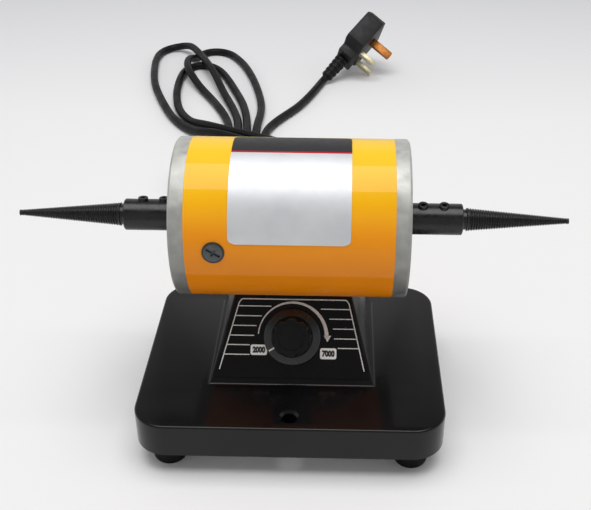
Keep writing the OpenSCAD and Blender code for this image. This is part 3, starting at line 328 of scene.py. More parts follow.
curve = bpy.data.curves.new("cord_sheath", "CURVE")
curve.dimensions = "3D"
curve.bevel_depth = CORD_D / 2 * MM
curve.bevel_resolution = 4
curve.use_fill_caps = True
spline = curve.splines.new("POLY")
spline.points.add(len(line) - 1)
for point, at in zip(spline.points, line):
    point.co = (*(at * MM), 1)
curve.materials.append(grained(
    "cord_sheath", "#111113", 0.5, 0, 30, 0.25, 1.1, 0.03, vary=0.1, specular=0.22))
cord = stand_in(linked("cord_sheath", curve), "stator", "cord_black", "cord")
print("cord made")

# %% [markdown]
# ## Bench, backdrop and light
# The bench is one pale plane that fills the view. A broad soft lamp hangs overhead: its edges
# draw the crisp bands that run along the enamel. The room has pale walls, dimmer behind the
# camera, and a darker ceiling, so that flat gloss black is palest at its far edge and a silver
# foil runs from white at the lamp's band to grey below it.

# %% Bench
def mesh_object(name, verts, faces, mat=None):
    """A mesh object at the origin, from points in metres."""
    mesh = bpy.data.meshes.new(name)
    mesh.from_pydata([tuple(v) for v in verts], [], faces)
    mesh.update()
    if mat:
        mesh.materials.append(mat)
    return linked(name, mesh)


def bench_paper():
    """Pale paper, with painted shade that greys it towards the far side."""
    f = Finish("bench_paper", rough=0.9, specular=0.1)
    # Painted shade: the paper's tone falls to 0.84 at the far side.
    tones = ((0.0, 0.93), (0.42, 0.95), (0.88, 0.87), (1.0, 0.84))
    stops = [(at, (tone, tone, min(1.0, tone + 0.02 * at), 1)) for at, tone in tones]
    f.colour(f.ramp(f.spread(f.axes(f.place)["Y"], 0, 1, 0.1, 0.8), stops))
    return f.mat


BENCH_SIDE, BENCH_NEAR, BENCH_FAR = 3, -0.47, 3
corners = [(-BENCH_SIDE, BENCH_NEAR, 0), (BENCH_SIDE, BENCH_NEAR, 0),
           (BENCH_SIDE, BENCH_FAR, 0), (-BENCH_SIDE, BENCH_FAR, 0)]
bench = mesh_object("bench", corners, [(0, 1, 2, 3)], bench_paper())
print("bench ready")

# %% Room and lamps
scene = bpy.context.scene
scene.view_settings.view_transform = "Standard"
world = bpy.data.worlds.new("room")
scene.world = world
world.use_nodes = True
room = Nodes(world.node_tree)
background = room.tree.nodes["Background"]
direction = room.axes(room.add("ShaderNodeTexCoord").outputs["Generated"])
walls_to_ceiling = room.spread(direction["Z"], 0.64, 0.25, 0.54, 0.68)
front_to_back = room.spread(direction["Y"], 0.8, 1.0, -0.7, 0.1)
room.feed(room.sum("MULTIPLY", walls_to_ceiling, front_to_back), background.inputs["Strength"])
background.inputs["Color"].default_value = (1, 1, 1, 1)

lamp = bpy.data.lights.new("overhead", "AREA")
lamp.shape = "RECTANGLE"
lamp.size, lamp.size_y = 1.45, 1.1
lamp.energy = 18.0
overhead = linked("overhead", lamp)
overhead.location = (0, -0.085, 1.55)
print("room lit")

# %% [markdown]
# ## Shared making tools
# A CAD solid has knife-sharp edges, and a real edge always has a small round that catches a
# line of light. `rounded` takes a copy of a CAD node, merges its loose triangles into clean
# faces and bevels the edges that a test picks out. `revolved` spins a profile about a line,
# as a lathe does, and `shaded` smooths a piece while its steep edges stay hard.

# %% Rounded copies of CAD nodes
def baked(obj):
    """The object with its modifiers applied, as a plain mesh."""
    shown = obj.evaluated_get(bpy.context.evaluated_depsgraph_get())
    mesh = bpy.data.meshes.new_from_object(shown)
    obj.modifiers.clear()
    obj.data = mesh
    return obj


def merged_copy(node, name, flat_deg=0.8):
    mesh = NODES[node].data.copy()
    mesh.materials.clear()
    bm = bmesh.new()
    bm.from_mesh(mesh)
    bmesh.ops.remove_doubles(bm, verts=bm.verts, dist=2e-6)
    if flat_deg:
        bmesh.ops.dissolve_limit(bm, angle_limit=math.radians(flat_deg), verts=bm.verts,
                                 edges=bm.edges)
    bm.normal_update()
    bm.to_mesh(mesh)
    bm.free()
    return linked(name, mesh)


def bevelled(obj, limit, width_mm, segments, crisp, angle=30):
    m = obj.modifiers.new("round", "BEVEL")
    m.limit_method, m.angle_limit = limit, math.radians(angle)
    m.width, m.segments = width_mm * MM, segments
    return shaded(baked(obj), crisp)


def rounded(node, name, width_mm, mat, picks=lambda a, b: True, angle=30, segments=3, crisp=30):
    """A copy of a node with its picked sharp edges bevelled, and smooth shading elsewhere."""
    obj = merged_copy(node, name)
    bm = bmesh.new()
    bm.from_mesh(obj.data)
    layers = bm.edges.layers.float
    layer = layers.get("bevel_weight_edge") or layers.new("bevel_weight_edge")
    count = 0
    for edge in bm.edges:
        if len(edge.link_faces) == 2 and edge.calc_face_angle(0) > math.radians(angle):
            if picks(edge.verts[0].co / MM, edge.verts[1].co / MM):
                edge[layer] = 1
                count += 1
    bm.to_mesh(obj.data)
    bm.free()
    obj.data.materials.append(mat)
    bevelled(obj, "WEIGHT", width_mm, segments, crisp)
    print(name, "edges rounded:", count, "faces:", len(obj.data.polygons))
    return obj


def shaded(obj, angle):
    """Smooth shading, with a hard line left wherever two faces meet more steeply than angle."""
    obj.data.shade_smooth()
    bm = bmesh.new()
    bm.from_mesh(obj.data)
    for edge in bm.edges:
        steep = len(edge.link_faces) == 2 and edge.calc_face_angle(0) > math.radians(angle)
        edge.smooth = not steep
    bm.to_mesh(obj.data)
    bm.free()
    return obj


def ring_faces(rings, around):
    """Faces between rings of points, with a cap before the first ring and one after the last."""
    faces = []
    for i in range(rings - 1):
        for k in range(around):
            a, b = i * around + k, i * around + (k + 1) % around
            faces.append((a, b, b + around, a + around))
    last = (rings - 1) * around
    return faces + [tuple(reversed(range(around))), tuple(range(last, last + around))]


def revolved(name, profile, place, mat, around=64, crisp=30):
    """Spins (along, radius) points, in millimetres, about local Z and places the result."""
    verts = []
    for along, radius in profile:
        for k in range(around):
            a = 2 * math.pi * k / around
            verts.append(place @ (Vector((radius * math.cos(a), radius * math.sin(a), along)) * MM))
    return shaded(mesh_object(name, verts, ring_faces(len(profile), around), mat), crisp)


print("tools ready")

# %% [markdown]
# ## The base
# The base and pedestal are one glossy black moulding. Its top is flat with a small round at the
# rim, and the pedestal leans in towards the motor. Moulded gloss is never a perfect mirror: it
# has a faint orange peel and a few dull wipes, which the finish draws with slow noise. High on
# the pedestal it is duller, so its leaning sides don't mirror the pale room.

# %% Gloss black moulding
TOP_Z, FACE_FOOT_Y, FACE_TILT = 31, -30.5, math.radians(55)
REAR_FOOT_Y, REAR_TILT = 45.5, math.radians(75)
SIDE_FOOT_X, SIDE_LEAN = 43, math.radians(18)
DULL_FROM, DULL_TO = 40, 56


def gloss_moulding():
    f = Finish("base_gloss", rough=0.13, coat=0.05, coat_rough=0.05, specular=0.27)
    f.colour(f.ramp(f.noise(40, 4), [(0.35, rgb("#0c0c0d")), (0.65, rgb("#121214"))]))
    dull = f.spread(f.axes(f.place)["Z"], 0, 0.4, DULL_FROM * MM, DULL_TO * MM)
    f.gloss(f.sum("ADD", f.spread(f.noise(22, 5), 0.10, 0.22), dull))
    f.bump(f.noise(2.2, 2), 0.006)
    return f.mat


def on_pedestal(a, b):
    """True for the edges of the pedestal's outer faces."""
    return min(a.z, b.z) > TOP_Z - 0.2 and outside(a) and outside(b)


def outside(p, slack=0.15):
    """How the pedestal's outer planes are known: by their lean from the top of the base."""
    h = p.z - TOP_Z
    side = abs(p.x) - (SIDE_FOOT_X - h * math.tan(SIDE_LEAN))
    front = p.y - (FACE_FOOT_Y + h / math.tan(FACE_TILT))
    rear = p.y - (REAR_FOOT_Y - h / math.tan(REAR_TILT))
    return min(abs(side), abs(front), abs(rear)) < slack


base = rounded("base_housing", "base_moulding", 1.6, gloss_moulding(), picks=on_pedestal, angle=12)
stand_in(base, "stator", "housing_black", "base_housing")

# %% [markdown]
# ## Motor tube and end caps
# The tube is rolled steel in glossy orange-yellow enamel. Its colour has painted shading: darker
# and more orange underneath, paler and yellower on top. The end caps are die-cast aluminium, left
# dull, with the fine pitting that a casting keeps and painted shading, darker underneath and paler
# on top.

# %% Enamel and cast metal
AXIS_Y, AXIS_Z, TUBE_R = 7, 110.4, 40


def height_on_tube(f):
    """0 at the underside of the tube and 1 on top."""
    return f.spread(f.axes(f.place)["Z"], 0, 1, (AXIS_Z - TUBE_R) * MM, (AXIS_Z + TUBE_R) * MM)


def enamel():
    f = Finish("tube_enamel", rough=0.4, coat=0.42, coat_rough=0.03, specular=0.05)
    # Painted shading: by height on the tube the colour goes from a darker orange underneath to a
    # paler yellow on top.
    tone = f.ramp(height_on_tube(f), [
        (0.0, (0.80, 0.225, 0.004, 1)), (0.33, (0.86, 0.256, 0.004, 1)),
        (0.5, (0.94, 0.30, 0.004, 1)), (0.646, (1.0, 0.345, 0.005, 1)),
        (0.75, (1.0, 0.435, 0.006, 1)), (0.85, (1.0, 0.52, 0.008, 1)),
        (0.93, (1.0, 0.58, 0.02, 1)), (1.0, (1.0, 0.63, 0.03, 1))])
    drift = f.ramp(f.noise(25, 3), [(0.3, (0.95, 0.95, 0.95, 1)), (0.7, (1, 1, 1, 1))])
    f.colour(f.mixed(1, tone, drift, "MULTIPLY"))
    f.gloss(f.spread(f.noise(12, 3), 0.30, 0.40))
    f.bump(f.noise(1.4, 1), 0.003)
    return f.mat


def cast_metal():
    f = Finish("cast_aluminium", rough=0.5, metal=0.5, specular=0.4)
    pits = f.ramp(f.noise(6, 6), [(0.3, rgb("#b5b5b1")), (0.7, rgb("#d2d2cd"))])
    # Painted shading: by height on the tube the casting is darker underneath and paler on top.
    painted_shade = f.ramp(height_on_tube(f), [(0.2, rgb("#a5a5a5")), (0.5, rgb("#c8c8c8")),
                                      (0.9, rgb("#fafafa"))])
    f.colour(f.mixed(1, pits, painted_shade, "MULTIPLY"))
    f.gloss(f.spread(f.noise(3, 4), 0.42, 0.62))
    f.bump(f.noise(0.7, 5), 0.05)
    return f.mat


tube = merged_copy("motor_tube", "motor_tube_enamel", 0)
tube.data.materials.append(enamel())
stand_in(shaded(tube, 25), "stator", "tube_yellow", "motor_tube")
cast = cast_metal()
for side in ("left", "right"):
    cap = rounded(side + "_end_cap", side + "_cap_casting", 0.8, cast, angle=40)
    stand_in(cap, "stator", "cap_aluminium", side + "_end_cap")
print("tube and caps dressed")

# %% Brush holders, caps and feet
phenolic = grained("holder_phenolic", "#19171a", 0.38, 0, 2.5, 0.2, 0.25, 0.02, coat=0.2)
slotted = grained("cap_phenolic", "#4b4f51", 0.4, 0, 2, 0.25, 0.25, 0.03, 0.12)
rubber = grained("foot_rubber", "#0d0d0e", 0.6, 0, 6, 0.2, 0.5, 0.03, specular=0.15)
for node, name, width, mat, slot_name in (
        ("brush_holders", "holder_tubes", 0.25, phenolic, "bakelite"),
        ("brush_caps", "slotted_caps", 0.3, slotted, "bakelite"),
        ("feet", "rubber_feet", 1.2, rubber, "foot_rubber")):
    stand_in(rounded(node, name, width, mat, angle=40, segments=2), "stator", slot_name, node)
print("brush gear and feet rounded")

# %% [markdown]
# ## Nameplate foil
# A thin silver foil is glued round the front of the tube. It has a dark band along its top edge
# and a fine red line under it, and its field is left bare. The bands follow the angle round the
# tube, so the finish works that angle out from the height and depth of each point.

# %% Foil
RED_FROM, HEADER_FROM = math.radians(78.6), math.radians(80.4)


def foil_finish():
    f = Finish("foil_print", rough=0.5, metal=0.58, coat=0.08, coat_rough=0.2)
    at = f.axes(f.shifted((0, -AXIS_Y * MM, -AXIS_Z * MM)))
    angle = f.sum("ARCTAN2", at["Z"], f.sum("MULTIPLY", at["Y"], -1.0))
    band = f.spread(angle, 0, 1, RED_FROM, HEADER_FROM)
    field = f.ramp(f.noise(16, 3), [(0.3, rgb("#d6d8db")), (0.7, rgb("#e0e2e4"))])
    stripe = f.ramp(band, [(0.0, (0, 0, 0, 1)), (0.02, (1, 1, 1, 1))])
    header = f.ramp(band, [(0.97, (0, 0, 0, 1)), (0.99, (1, 1, 1, 1))])
    f.colour(f.mixed(header, f.mixed(stripe, field, rgb("#c8102e")), rgb("#343437")))
    f.gloss(f.spread(f.noise(5, 3), 0.46, 0.54))
    f.bump(f.noise(1.2, 2), 0.004)
    return f.mat


def foil_piece(corner=3.0, thick=0.3):
    """The foil as a bent sheet with round corners, laid out flat as angle and length first."""
    r = 40.06
    half_w, low, high = 29.0, math.radians(10), math.radians(106)
    rows, cols = 64, 40
    verts, faces = [], []
    for layer in (r + thick, r):
        for j in range(rows + 1):
            s = low * r + (high - low) * r * j / rows
            from_edge = min(s - low * r, high * r - s)
            pull = corner - math.sqrt(max(0, corner ** 2 - (corner - min(from_edge, corner)) ** 2))
            for i in range(cols + 1):
                x = (half_w - pull) * (2 * i / cols - 1)
                out, rise = layer * math.cos(s / r), layer * math.sin(s / r)
                verts.append(Vector((x, AXIS_Y - out, AXIS_Z + rise)) * MM)
    n, w = (rows + 1) * (cols + 1), cols + 1
    for j in range(rows):
        for i in range(cols):
            a = j * w + i
            faces.append((a, a + 1, a + 1 + w, a + w))
            faces.append((n + a, n + a + w, n + a + 1 + w, n + a + 1))
    rim = (list(range(w)) + [j * w + cols for j in range(1, rows + 1)]
           + [rows * w + i for i in range(cols - 1, -1, -1)]
           + [j * w for j in range(rows - 1, 0, -1)])
    for a, b in zip(rim, rim[1:] + rim[:1]):
        faces.append((a, n + a, n + b, b))
    obj = mesh_object("nameplate_foil", verts, faces, foil_finish())
    return shaded(tidy_normals(obj), 40)


def tidy_normals(obj):
    """Merges doubles and turns every face outwards."""
    bm = bmesh.new()
    bm.from_mesh(obj.data)
    bmesh.ops.remove_doubles(bm, verts=bm.verts, dist=1e-6)
    bmesh.ops.recalc_face_normals(bm, faces=bm.faces)
    bm.to_mesh(obj.data)
    bm.free()
    return obj


stand_in(foil_piece(), "stator", "foil_silver", "nameplate")
print("foil laid on")

# %% [markdown]
# ## Threaded tapers
# Each taper is a screw cut on a cone, so its shape follows a rule: the radius falls from end to
# end, and a ridge winds round once in every pitch. Geometry Nodes can state that rule directly.
# A flat grid is rolled up: one way along it is the length, the other is the turn. The left taper
# has a left-hand thread, so that both grip their wheel as the motor turns.

# %% Node-tree helpers
class Rule(Nodes):
    """A Geometry Nodes tree with named inputs, the last of them its material."""

    def __init__(self, name, inputs):
        super().__init__(bpy.data.node_groups.new(name, "GeometryNodeTree"))
        face = self.tree.interface
        self.keys = {}
        for label, value in {**inputs, "Material": None}.items():
            kind = label if value is None else "Int" if isinstance(value, int) else "Float"
            s = face.new_socket(name=label, in_out="INPUT", socket_type="NodeSocket" + kind)
            if value is not None:
                s.default_value = value
            self.keys[label] = s.identifier
        face.new_socket(name="Geometry", in_out="OUTPUT", socket_type="NodeSocketGeometry")
        self.inp = self.add("NodeGroupInput")
        self.out = self.add("NodeGroupOutput")

    def named(self, label):
        return self.inp.outputs[label]

    def position(self):
        return self.axes(self.made("GeometryNodeInputPosition", {}))

    def instanced(self, points, shape, scale):
        return self.made("GeometryNodeInstanceOnPoints", {
            "Points": points, "Instance": shape, "Scale": scale})

    def finish(self, geometry):
        real = self.made("GeometryNodeRealizeInstances", {0: geometry})
        painted = self.made("GeometryNodeSetMaterial", {
            "Geometry": real, "Material": self.named("Material")})
        self.feed(painted, self.out.inputs[0])

    def make(self, name, values, mesh=None):
        """Runs the tree on an object and keeps the result as a plain mesh."""
        obj = linked(name, mesh or bpy.data.meshes.new(name))
        m = obj.modifiers.new("rule", "NODES")
        m.node_group = self.tree
        for label, value in values.items():
            m[self.keys[label]] = value
        baked(obj)
        print(name, "faces:", len(obj.data.polygons))
        return obj


def placed(obj, matrix):
    obj.data.transform(matrix)
    return obj


# %% Taper thread rule
def thread_rule(fade_len=0.0016, least=0.0006, end_gap=0.00002, weld=0.000008):
    """The thread fades out near both ends, where the wall turns in and closes the taper."""
    r = Rule("taper_thread", {
        "Length": 0.052, "Start Radius": 0.006, "Tip Radius": 0.0015, "Pitch": 0.0013,
        "Depth": 0.0005, "Hand": 1.0, "Steps": 401, "Around": 41})
    grid = r.made("GeometryNodeMeshGrid", {"Vertices X": r.named("Steps"),
                                           "Vertices Y": r.named("Around")})
    flat = r.position()
    u = r.sum("ADD", flat[0], 0.5)
    v = r.sum("ADD", flat[1], 0.5)
    x = r.sum("MULTIPLY", u, r.named("Length"))
    fall = r.sum("SUBTRACT", r.named("Tip Radius"), r.named("Start Radius"))
    cone = r.sum("MULTIPLY_ADD", fall, u, r.named("Start Radius"))
    turns = r.sum("SUBTRACT", r.sum("DIVIDE", x, r.named("Pitch")),
                  r.sum("MULTIPLY", v, r.named("Hand")))
    saw = r.sum("ABSOLUTE", r.sum("MULTIPLY_ADD", r.sum("FRACT", turns), 2.0, -1.0))
    groove = r.sum("SMOOTH_MIN", r.sum("MULTIPLY", saw, 1.35), 1.0, 0.3)
    from_end = r.sum("MINIMUM", x, r.sum("SUBTRACT", r.named("Length"), x))
    fade = r.sum("MINIMUM", r.sum("DIVIDE", from_end, fade_len), 1.0)
    cut = r.sum("MULTIPLY", r.sum("MULTIPLY", groove, r.named("Depth")), fade)
    wall = r.sum("MAXIMUM", r.sum("SUBTRACT", cone, cut), least)
    radius = r.sum("MULTIPLY", wall, r.sum("GREATER_THAN", from_end, end_gap))
    turn = r.sum("MULTIPLY", v, 2 * math.pi)
    place = r.vector(x, r.sum("MULTIPLY", radius, r.sum("COSINE", turn)),
                     r.sum("MULTIPLY", radius, r.sum("SINE", turn)))
    moved = r.made("GeometryNodeSetPosition", {"Geometry": grid, "Position": place})
    flipped = r.made("GeometryNodeFlipFaces", {0: moved})
    r.finish(r.made("GeometryNodeMergeByDistance", {0: flipped, "Distance": weld}))
    return r


def black_oxide():
    f = Finish("black_oxide", rough=0.3, coat=0.1, coat_rough=0.2, specular=0.4)
    f.colour(f.ramp(f.noise(5, 5), [(0.3, rgb("#0a0a0b")), (0.68, rgb("#151517")),
                                    (0.9, rgb("#2a2927"))]))
    f.gloss(f.spread(f.noise(2.5, 4), 0.22, 0.38))
    f.bump(f.noise(0.5, 3), 0.01)
    return f.mat


TAPER_FROM, TAPER_LEN = 87.5, 52.0
oxide = black_oxide()
thread = thread_rule()
for side, hand in (("left", -1), ("right", 1)):
    taper = thread.make(side + "_taper_thread", {
        "Length": TAPER_LEN * MM, "Hand": float(hand), "Material": oxide})
    turn = Matrix.Rotation(math.pi if hand < 0 else 0, 4, "Z")
    shift = Matrix.Translation(Vector((hand * TAPER_FROM, AXIS_Y, AXIS_Z)) * MM)
    stand_in(shaded(placed(taper, shift @ turn), 60), "rotor", "black_oxide", side + "_spindle")

# %% Collars, cut from the CAD spindles
def collar_piece(side, sign):
    """The collar and neck of a CAD spindle, cut off where its taper begins."""
    obj = merged_copy(side + "_spindle", side + "_collar")
    bm = bmesh.new()
    bm.from_mesh(obj.data)
    cut_at = Vector((sign * (TAPER_FROM + 0.02), 0, 0)) * MM
    bmesh.ops.bisect_plane(bm, geom=bm.verts[:] + bm.edges[:] + bm.faces[:], dist=1e-7,
                           plane_co=cut_at, plane_no=(sign, 0, 0), clear_outer=True)
    open_edges = [e for e in bm.edges if len(e.link_faces) == 1]
    bmesh.ops.holes_fill(bm, edges=open_edges, sides=0)
    bm.to_mesh(obj.data)
    bm.free()
    obj.data.materials.append(oxide)
    return shaded(obj, 30)


grub_black = grained("grub_screw_black", "#1b1b1d", 0.3, 0.3, 1.5, 0.3, 0.3, 0.02)
for side, sign in (("left", -1), ("right", 1)):
    stand_in(collar_piece(side, sign), "rotor", "black_oxide", side + "_spindle")
    screws = rounded(side + "_grub_screws", side + "_set_screws", 0.3, grub_black, angle=50,
                     segments=2)
    stand_in(screws, "rotor", "black_oxide", side + "_grub_screws")
print("spindles made")

# %% [markdown]
# ## Speed knob and dial
# The knob is a moulding with a thin skirt and a fluted grip. It is built ring by ring: each ring
# is a circle, and on the grip hollows are pressed into it. The dial is printed on a black plate
# in thin pale ink, so each mark is a very thin raised piece on the plate.

# %% Places on the control face
KNOB_V, PANEL_T = 25.3, 0.8


def on_face(u, v, w):
    """u across, v up the face from its foot, w out of it, all in millimetres."""
    c, s = math.cos(FACE_TILT), math.sin(FACE_TILT)
    return Vector((u, FACE_FOOT_Y + v * c - w * s, TOP_Z + v * s + w * c)) * MM


# %% Knob
KNOB_UP, SKIRT_R, GRIP_R = PANEL_T + 0.7, 14.75, 10.2
SKIRT_TOP = KNOB_UP + 3.0
KNOB_TOP = SKIRT_TOP + 12.0


def knob_piece(around=160, flutes=8, flute_depth=1.1, skirt_rings=5):
    """Each ring is its height off the face, its radius and its share of the flutes' depth."""
    rings = [(KNOB_UP, SKIRT_R, 0), (SKIRT_TOP - 1.7, SKIRT_R, 0),
             (SKIRT_TOP - 1.35, SKIRT_R - 0.12, 0), (SKIRT_TOP - 1.15, SKIRT_R - 0.4, 0),
             (SKIRT_TOP - 1.0, SKIRT_R - 0.85, 0), (SKIRT_TOP, GRIP_R + 0.6, 0),
             (SKIRT_TOP + 0.1, GRIP_R + 0.2, 0.3), (SKIRT_TOP + 0.5, GRIP_R, 1),
             (KNOB_TOP - 0.9, GRIP_R - 0.1, 1), (KNOB_TOP - 0.4, GRIP_R - 0.3, 1),
             (KNOB_TOP - 0.1, GRIP_R - 0.7, 0.95), (KNOB_TOP, GRIP_R - 1.2, 0.85),
             (KNOB_TOP, 6.8, 0.1), (KNOB_TOP - 0.35, 6.4, 0), (KNOB_TOP - 0.35, 0.4, 0)]
    verts = []
    for w, r, lobed in rings:
        for k in range(around):
            a = 2 * math.pi * k / around
            rr = r - flute_depth * max(0.0, -math.cos(flutes * a)) ** 1.2 * lobed
            verts.append(on_face(rr * math.cos(a), KNOB_V + rr * math.sin(a), w))
    obj = mesh_object("speed_knob", verts, ring_faces(len(rings), around), grained(
        "knob_skirt", "#1c1c1e", 0.24, 0, 7, 0.18, 0.35, 0.006, 0.05, specular=0.6))
    obj.data.materials.append(grained("knob_grip", "#0a0a0b", 0.38, 0, 7, 0.2, 0.35, 0.012, 0.06,
                                      specular=0.2))
    under_cap = (len(rings) - 1) * around
    for poly in obj.data.polygons:
        grip = poly.index >= skirt_rings * around and poly.index != under_cap
        poly.material_index = 1 if grip else 0
    return shaded(tidy_normals(obj), 34)


stand_in(knob_piece(), "knob", "knob_black", "knob")
print("knob made")

# %% Printed marks
def inlay(name, shapes, low, high, mat):
    """Thin prisms from closed outlines of (u, v) points on the control face."""
    bm = bmesh.new()
    for outline in shapes:
        base_ring = [bm.verts.new(on_face(u, v, low)) for u, v in outline]
        top_ring = [bm.verts.new(on_face(u, v, high)) for u, v in outline]
        bm.faces.new(list(reversed(base_ring)))
        bm.faces.new(top_ring)
        for i in range(len(outline)):
            j = (i + 1) % len(outline)
            bm.faces.new((base_ring[i], base_ring[j], top_ring[j], top_ring[i]))
    bmesh.ops.recalc_face_normals(bm, faces=bm.faces)
    mesh = bpy.data.meshes.new(name)
    bm.to_mesh(mesh)
    bm.free()
    mesh.materials.append(mat)
    return linked(name, mesh)


def stroke(points, widths):
    """The outline of a line of changing width, as short four-sided pieces."""
    shapes = []
    for (a, b), (wa, wb) in zip(zip(points, points[1:]), zip(widths, widths[1:])):
        du, dv = b[0] - a[0], b[1] - a[1]
        size = math.hypot(du, dv) or 1
        nu, nv = -dv / size / 2, du / size / 2
        shapes.append([(a[0] - nu * wa, a[1] - nv * wa), (b[0] - nu * wb, b[1] - nv * wb),
                       (b[0] + nu * wb, b[1] + nv * wb), (a[0] + nu * wa, a[1] + nv * wa)])
    return shapes


def arc(cu, cv, r, start, stop, n):
    turns = [math.radians(start + (stop - start) * i / n) for i in range(n + 1)]
    return [(cu + r * math.cos(t), cv + r * math.sin(t)) for t in turns]


ink = grained("dial_ink", "#dfdeda", 0.55, 0, 1.4, 0.12, 0.2, 0.004)
INK = (PANEL_T, PANEL_T + 0.05)
FRAME_TOP, FRAME_FOOT, FRAME_ROUND, FRAME_INK = 44.7, 8, 1.6, 0.55


def frame_u(v):
    """Half width of the printed frame, which follows the plate's sloping sides."""
    return 28.0 + (43 - v) * 0.275


def frame_right(v):
    """The right side of the frame, printed a little steeper than the left."""
    return 28.7 + (FRAME_TOP - v) * 0.24


bend_v = FRAME_TOP - FRAME_ROUND
left_side = [(-frame_u(FRAME_FOOT), FRAME_FOOT), (-frame_u(bend_v), bend_v)]
top_left = arc(-frame_u(FRAME_TOP) + FRAME_ROUND + 0.1, bend_v, FRAME_ROUND, 165, 90, 5)
top_right = arc(frame_right(FRAME_TOP) - FRAME_ROUND - 0.1, bend_v, FRAME_ROUND, 90, 15, 5)
right_side = [(frame_right(bend_v), bend_v), (frame_right(FRAME_FOOT), FRAME_FOOT)]
frame_line = left_side + top_left + top_right + right_side
rule_line = stroke(frame_line, [FRAME_INK] * len(frame_line))
SWEEP_R, SWEEP_STEPS = 17.8, 44
sweep = arc(0, KNOB_V, SWEEP_R, 176, -1, SWEEP_STEPS)
sweep_w = [0.5 + 1.5 * (i / SWEEP_STEPS) ** 1.2 for i in range(SWEEP_STEPS + 1)]
head = [[(16.3, 26.2), (20.1, 26.2), (18.2, 22.9)]]
marks = inlay("dial_lines", rule_line + stroke(sweep, sweep_w) + head, *INK, ink)
stand_in(marks, "stator", "panel_black")
print("dial lines printed")

# %% Ticks, by a rule
def tick_rule():
    """Every point of a mesh becomes a thin bar, as long as its own length value says."""
    r = Rule("dial_ticks", {"Geometry": None, "Width": 0.0005, "Height": 0.00005})
    long = r.made("GeometryNodeInputNamedAttribute", {"Name": "length"}, data_type="FLOAT")
    size = r.vector(long, r.named("Width"), r.named("Height"))
    r.finish(r.instanced(r.named("Geometry"), r.made("GeometryNodeMeshCube", {}), size))
    return r


LEFT_TICKS = [(41.0, -11.3), (35.9, -16.2), (30.8, -18.8), (25.7, -19.9), (20.8, -22.1),
              (15.8, -22.1)]
RIGHT_TICKS = [(39.9, 14.6), (34.8, 19.0), (29.7, 21.0), (24.6, 21.6), (19.7, 23.6)]
tick_mesh = bpy.data.meshes.new("dial_ticks")
spans = ([(-frame_u(v), u, v) for v, u in LEFT_TICKS]
         + [(u, frame_right(v), v) for v, u in RIGHT_TICKS])
tick_mesh.from_pydata([((a + b) / 2 * MM, v * MM, 0) for a, b, v in spans], [], [])
lengths = tick_mesh.attributes.new("length", "FLOAT", "POINT")
for i, (a, b, v) in enumerate(spans):
    lengths.data[i].value = (b - a) * MM
ticks = tick_rule().make("dial_ticks", {"Material": ink}, tick_mesh)
FACE_TURN = Matrix.Rotation(FACE_TILT, 4, "X")
placed(ticks, Matrix.Translation(on_face(0, 0, PANEL_T + 0.025)) @ FACE_TURN)
stand_in(ticks, "stator", "panel_black")

# %% Number boxes
def box_outline(u0, u1, v0, v1, r=1.0):
    return (arc(u1 - r, v1 - r, r, 0, 90, 4) + arc(u0 + r, v1 - r, r, 90, 180, 4)
            + arc(u0 + r, v0 + r, r, 180, 270, 4) + arc(u1 - r, v0 + r, r, 270, 360, 4))


label_ink = grained("label_ink", "#f1f0ec", 0.5, 0, 2, 0.06, 0.3, 0.003)
BOXES = {"2000": (-21.6, -13.0, 15.6, 21.0), "7000": (14.5, 23.0, 14.0, 19.7)}
boxes = inlay("dial_boxes", [box_outline(*b) for b in BOXES.values()], PANEL_T, PANEL_T + 0.07,
              label_ink)
stand_in(boxes, "stator", "panel_black")
digit_ink = grained("digit_ink", "#1a1a1c", 0.5, 0, 1, 0.1, 0.2, 0.003)


def digits(text, box, tall=2.8, wide=6.6):
    """Dial numbers: a font's outline, filled, made a mesh and laid on the face."""
    font = bpy.data.curves.new("dial_" + text, "FONT")
    font.body, font.size = text, tall * 1.4 * MM
    font.align_x, font.align_y = "CENTER", "CENTER"
    font.extrude, font.offset = 0.02 * MM, 0.3 * MM
    obj = linked("dial_" + text, font)
    mesh = bpy.data.meshes.new_from_object(obj.evaluated_get(bpy.context.evaluated_depsgraph_get()))
    bpy.data.objects.remove(obj)
    width = max(v.co.x for v in mesh.vertices) - min(v.co.x for v in mesh.vertices)
    mesh.transform(Matrix.Diagonal((wide * MM / width, 1, 1, 1)))
    mid = ((box[0] + box[1]) / 2, (box[2] + box[3]) / 2 - 0.1)
    mesh.transform(Matrix.Translation(on_face(*mid, PANEL_T + 0.08)) @ FACE_TURN)
    mesh.materials.clear()
    mesh.materials.append(digit_ink)
    return linked("dial_" + text, mesh)


for text, box in BOXES.items():
    stand_in(digits(text, box), "stator", "panel_black")
print("numbers printed")

# %% Pointer on the skirt
pointer_ink = grained("pointer_ink", "#e8e7e2", 0.45, 0, 1, 0.05, 0.2, 0.004)
POINTER_DEG, POINTER_FROM, POINTER_TO, POINTER_W = 212, 10.0, 13.9, 0.85
c, s = math.cos(math.radians(POINTER_DEG)), math.sin(math.radians(POINTER_DEG))
bar = stroke([(r * c, KNOB_V + r * s) for r in (POINTER_FROM, POINTER_TO)], [POINTER_W] * 2)
pointer = inlay("knob_pointer", bar, SKIRT_TOP - 1.2, SKIRT_TOP - 0.02, pointer_ink)
stand_in(pointer, "knob", "knob_black")
print("pointer set")

# %% [markdown]
# ## Bend boot, relief and plug
# The boot at the base and the relief on the plug are ribbed rubber: the ribs let the cord bend in
# a wide curve. A rule makes both: a tapered core, and rings set along it that follow its taper.
# The plug is a hard moulding with soft edges and flat pins.

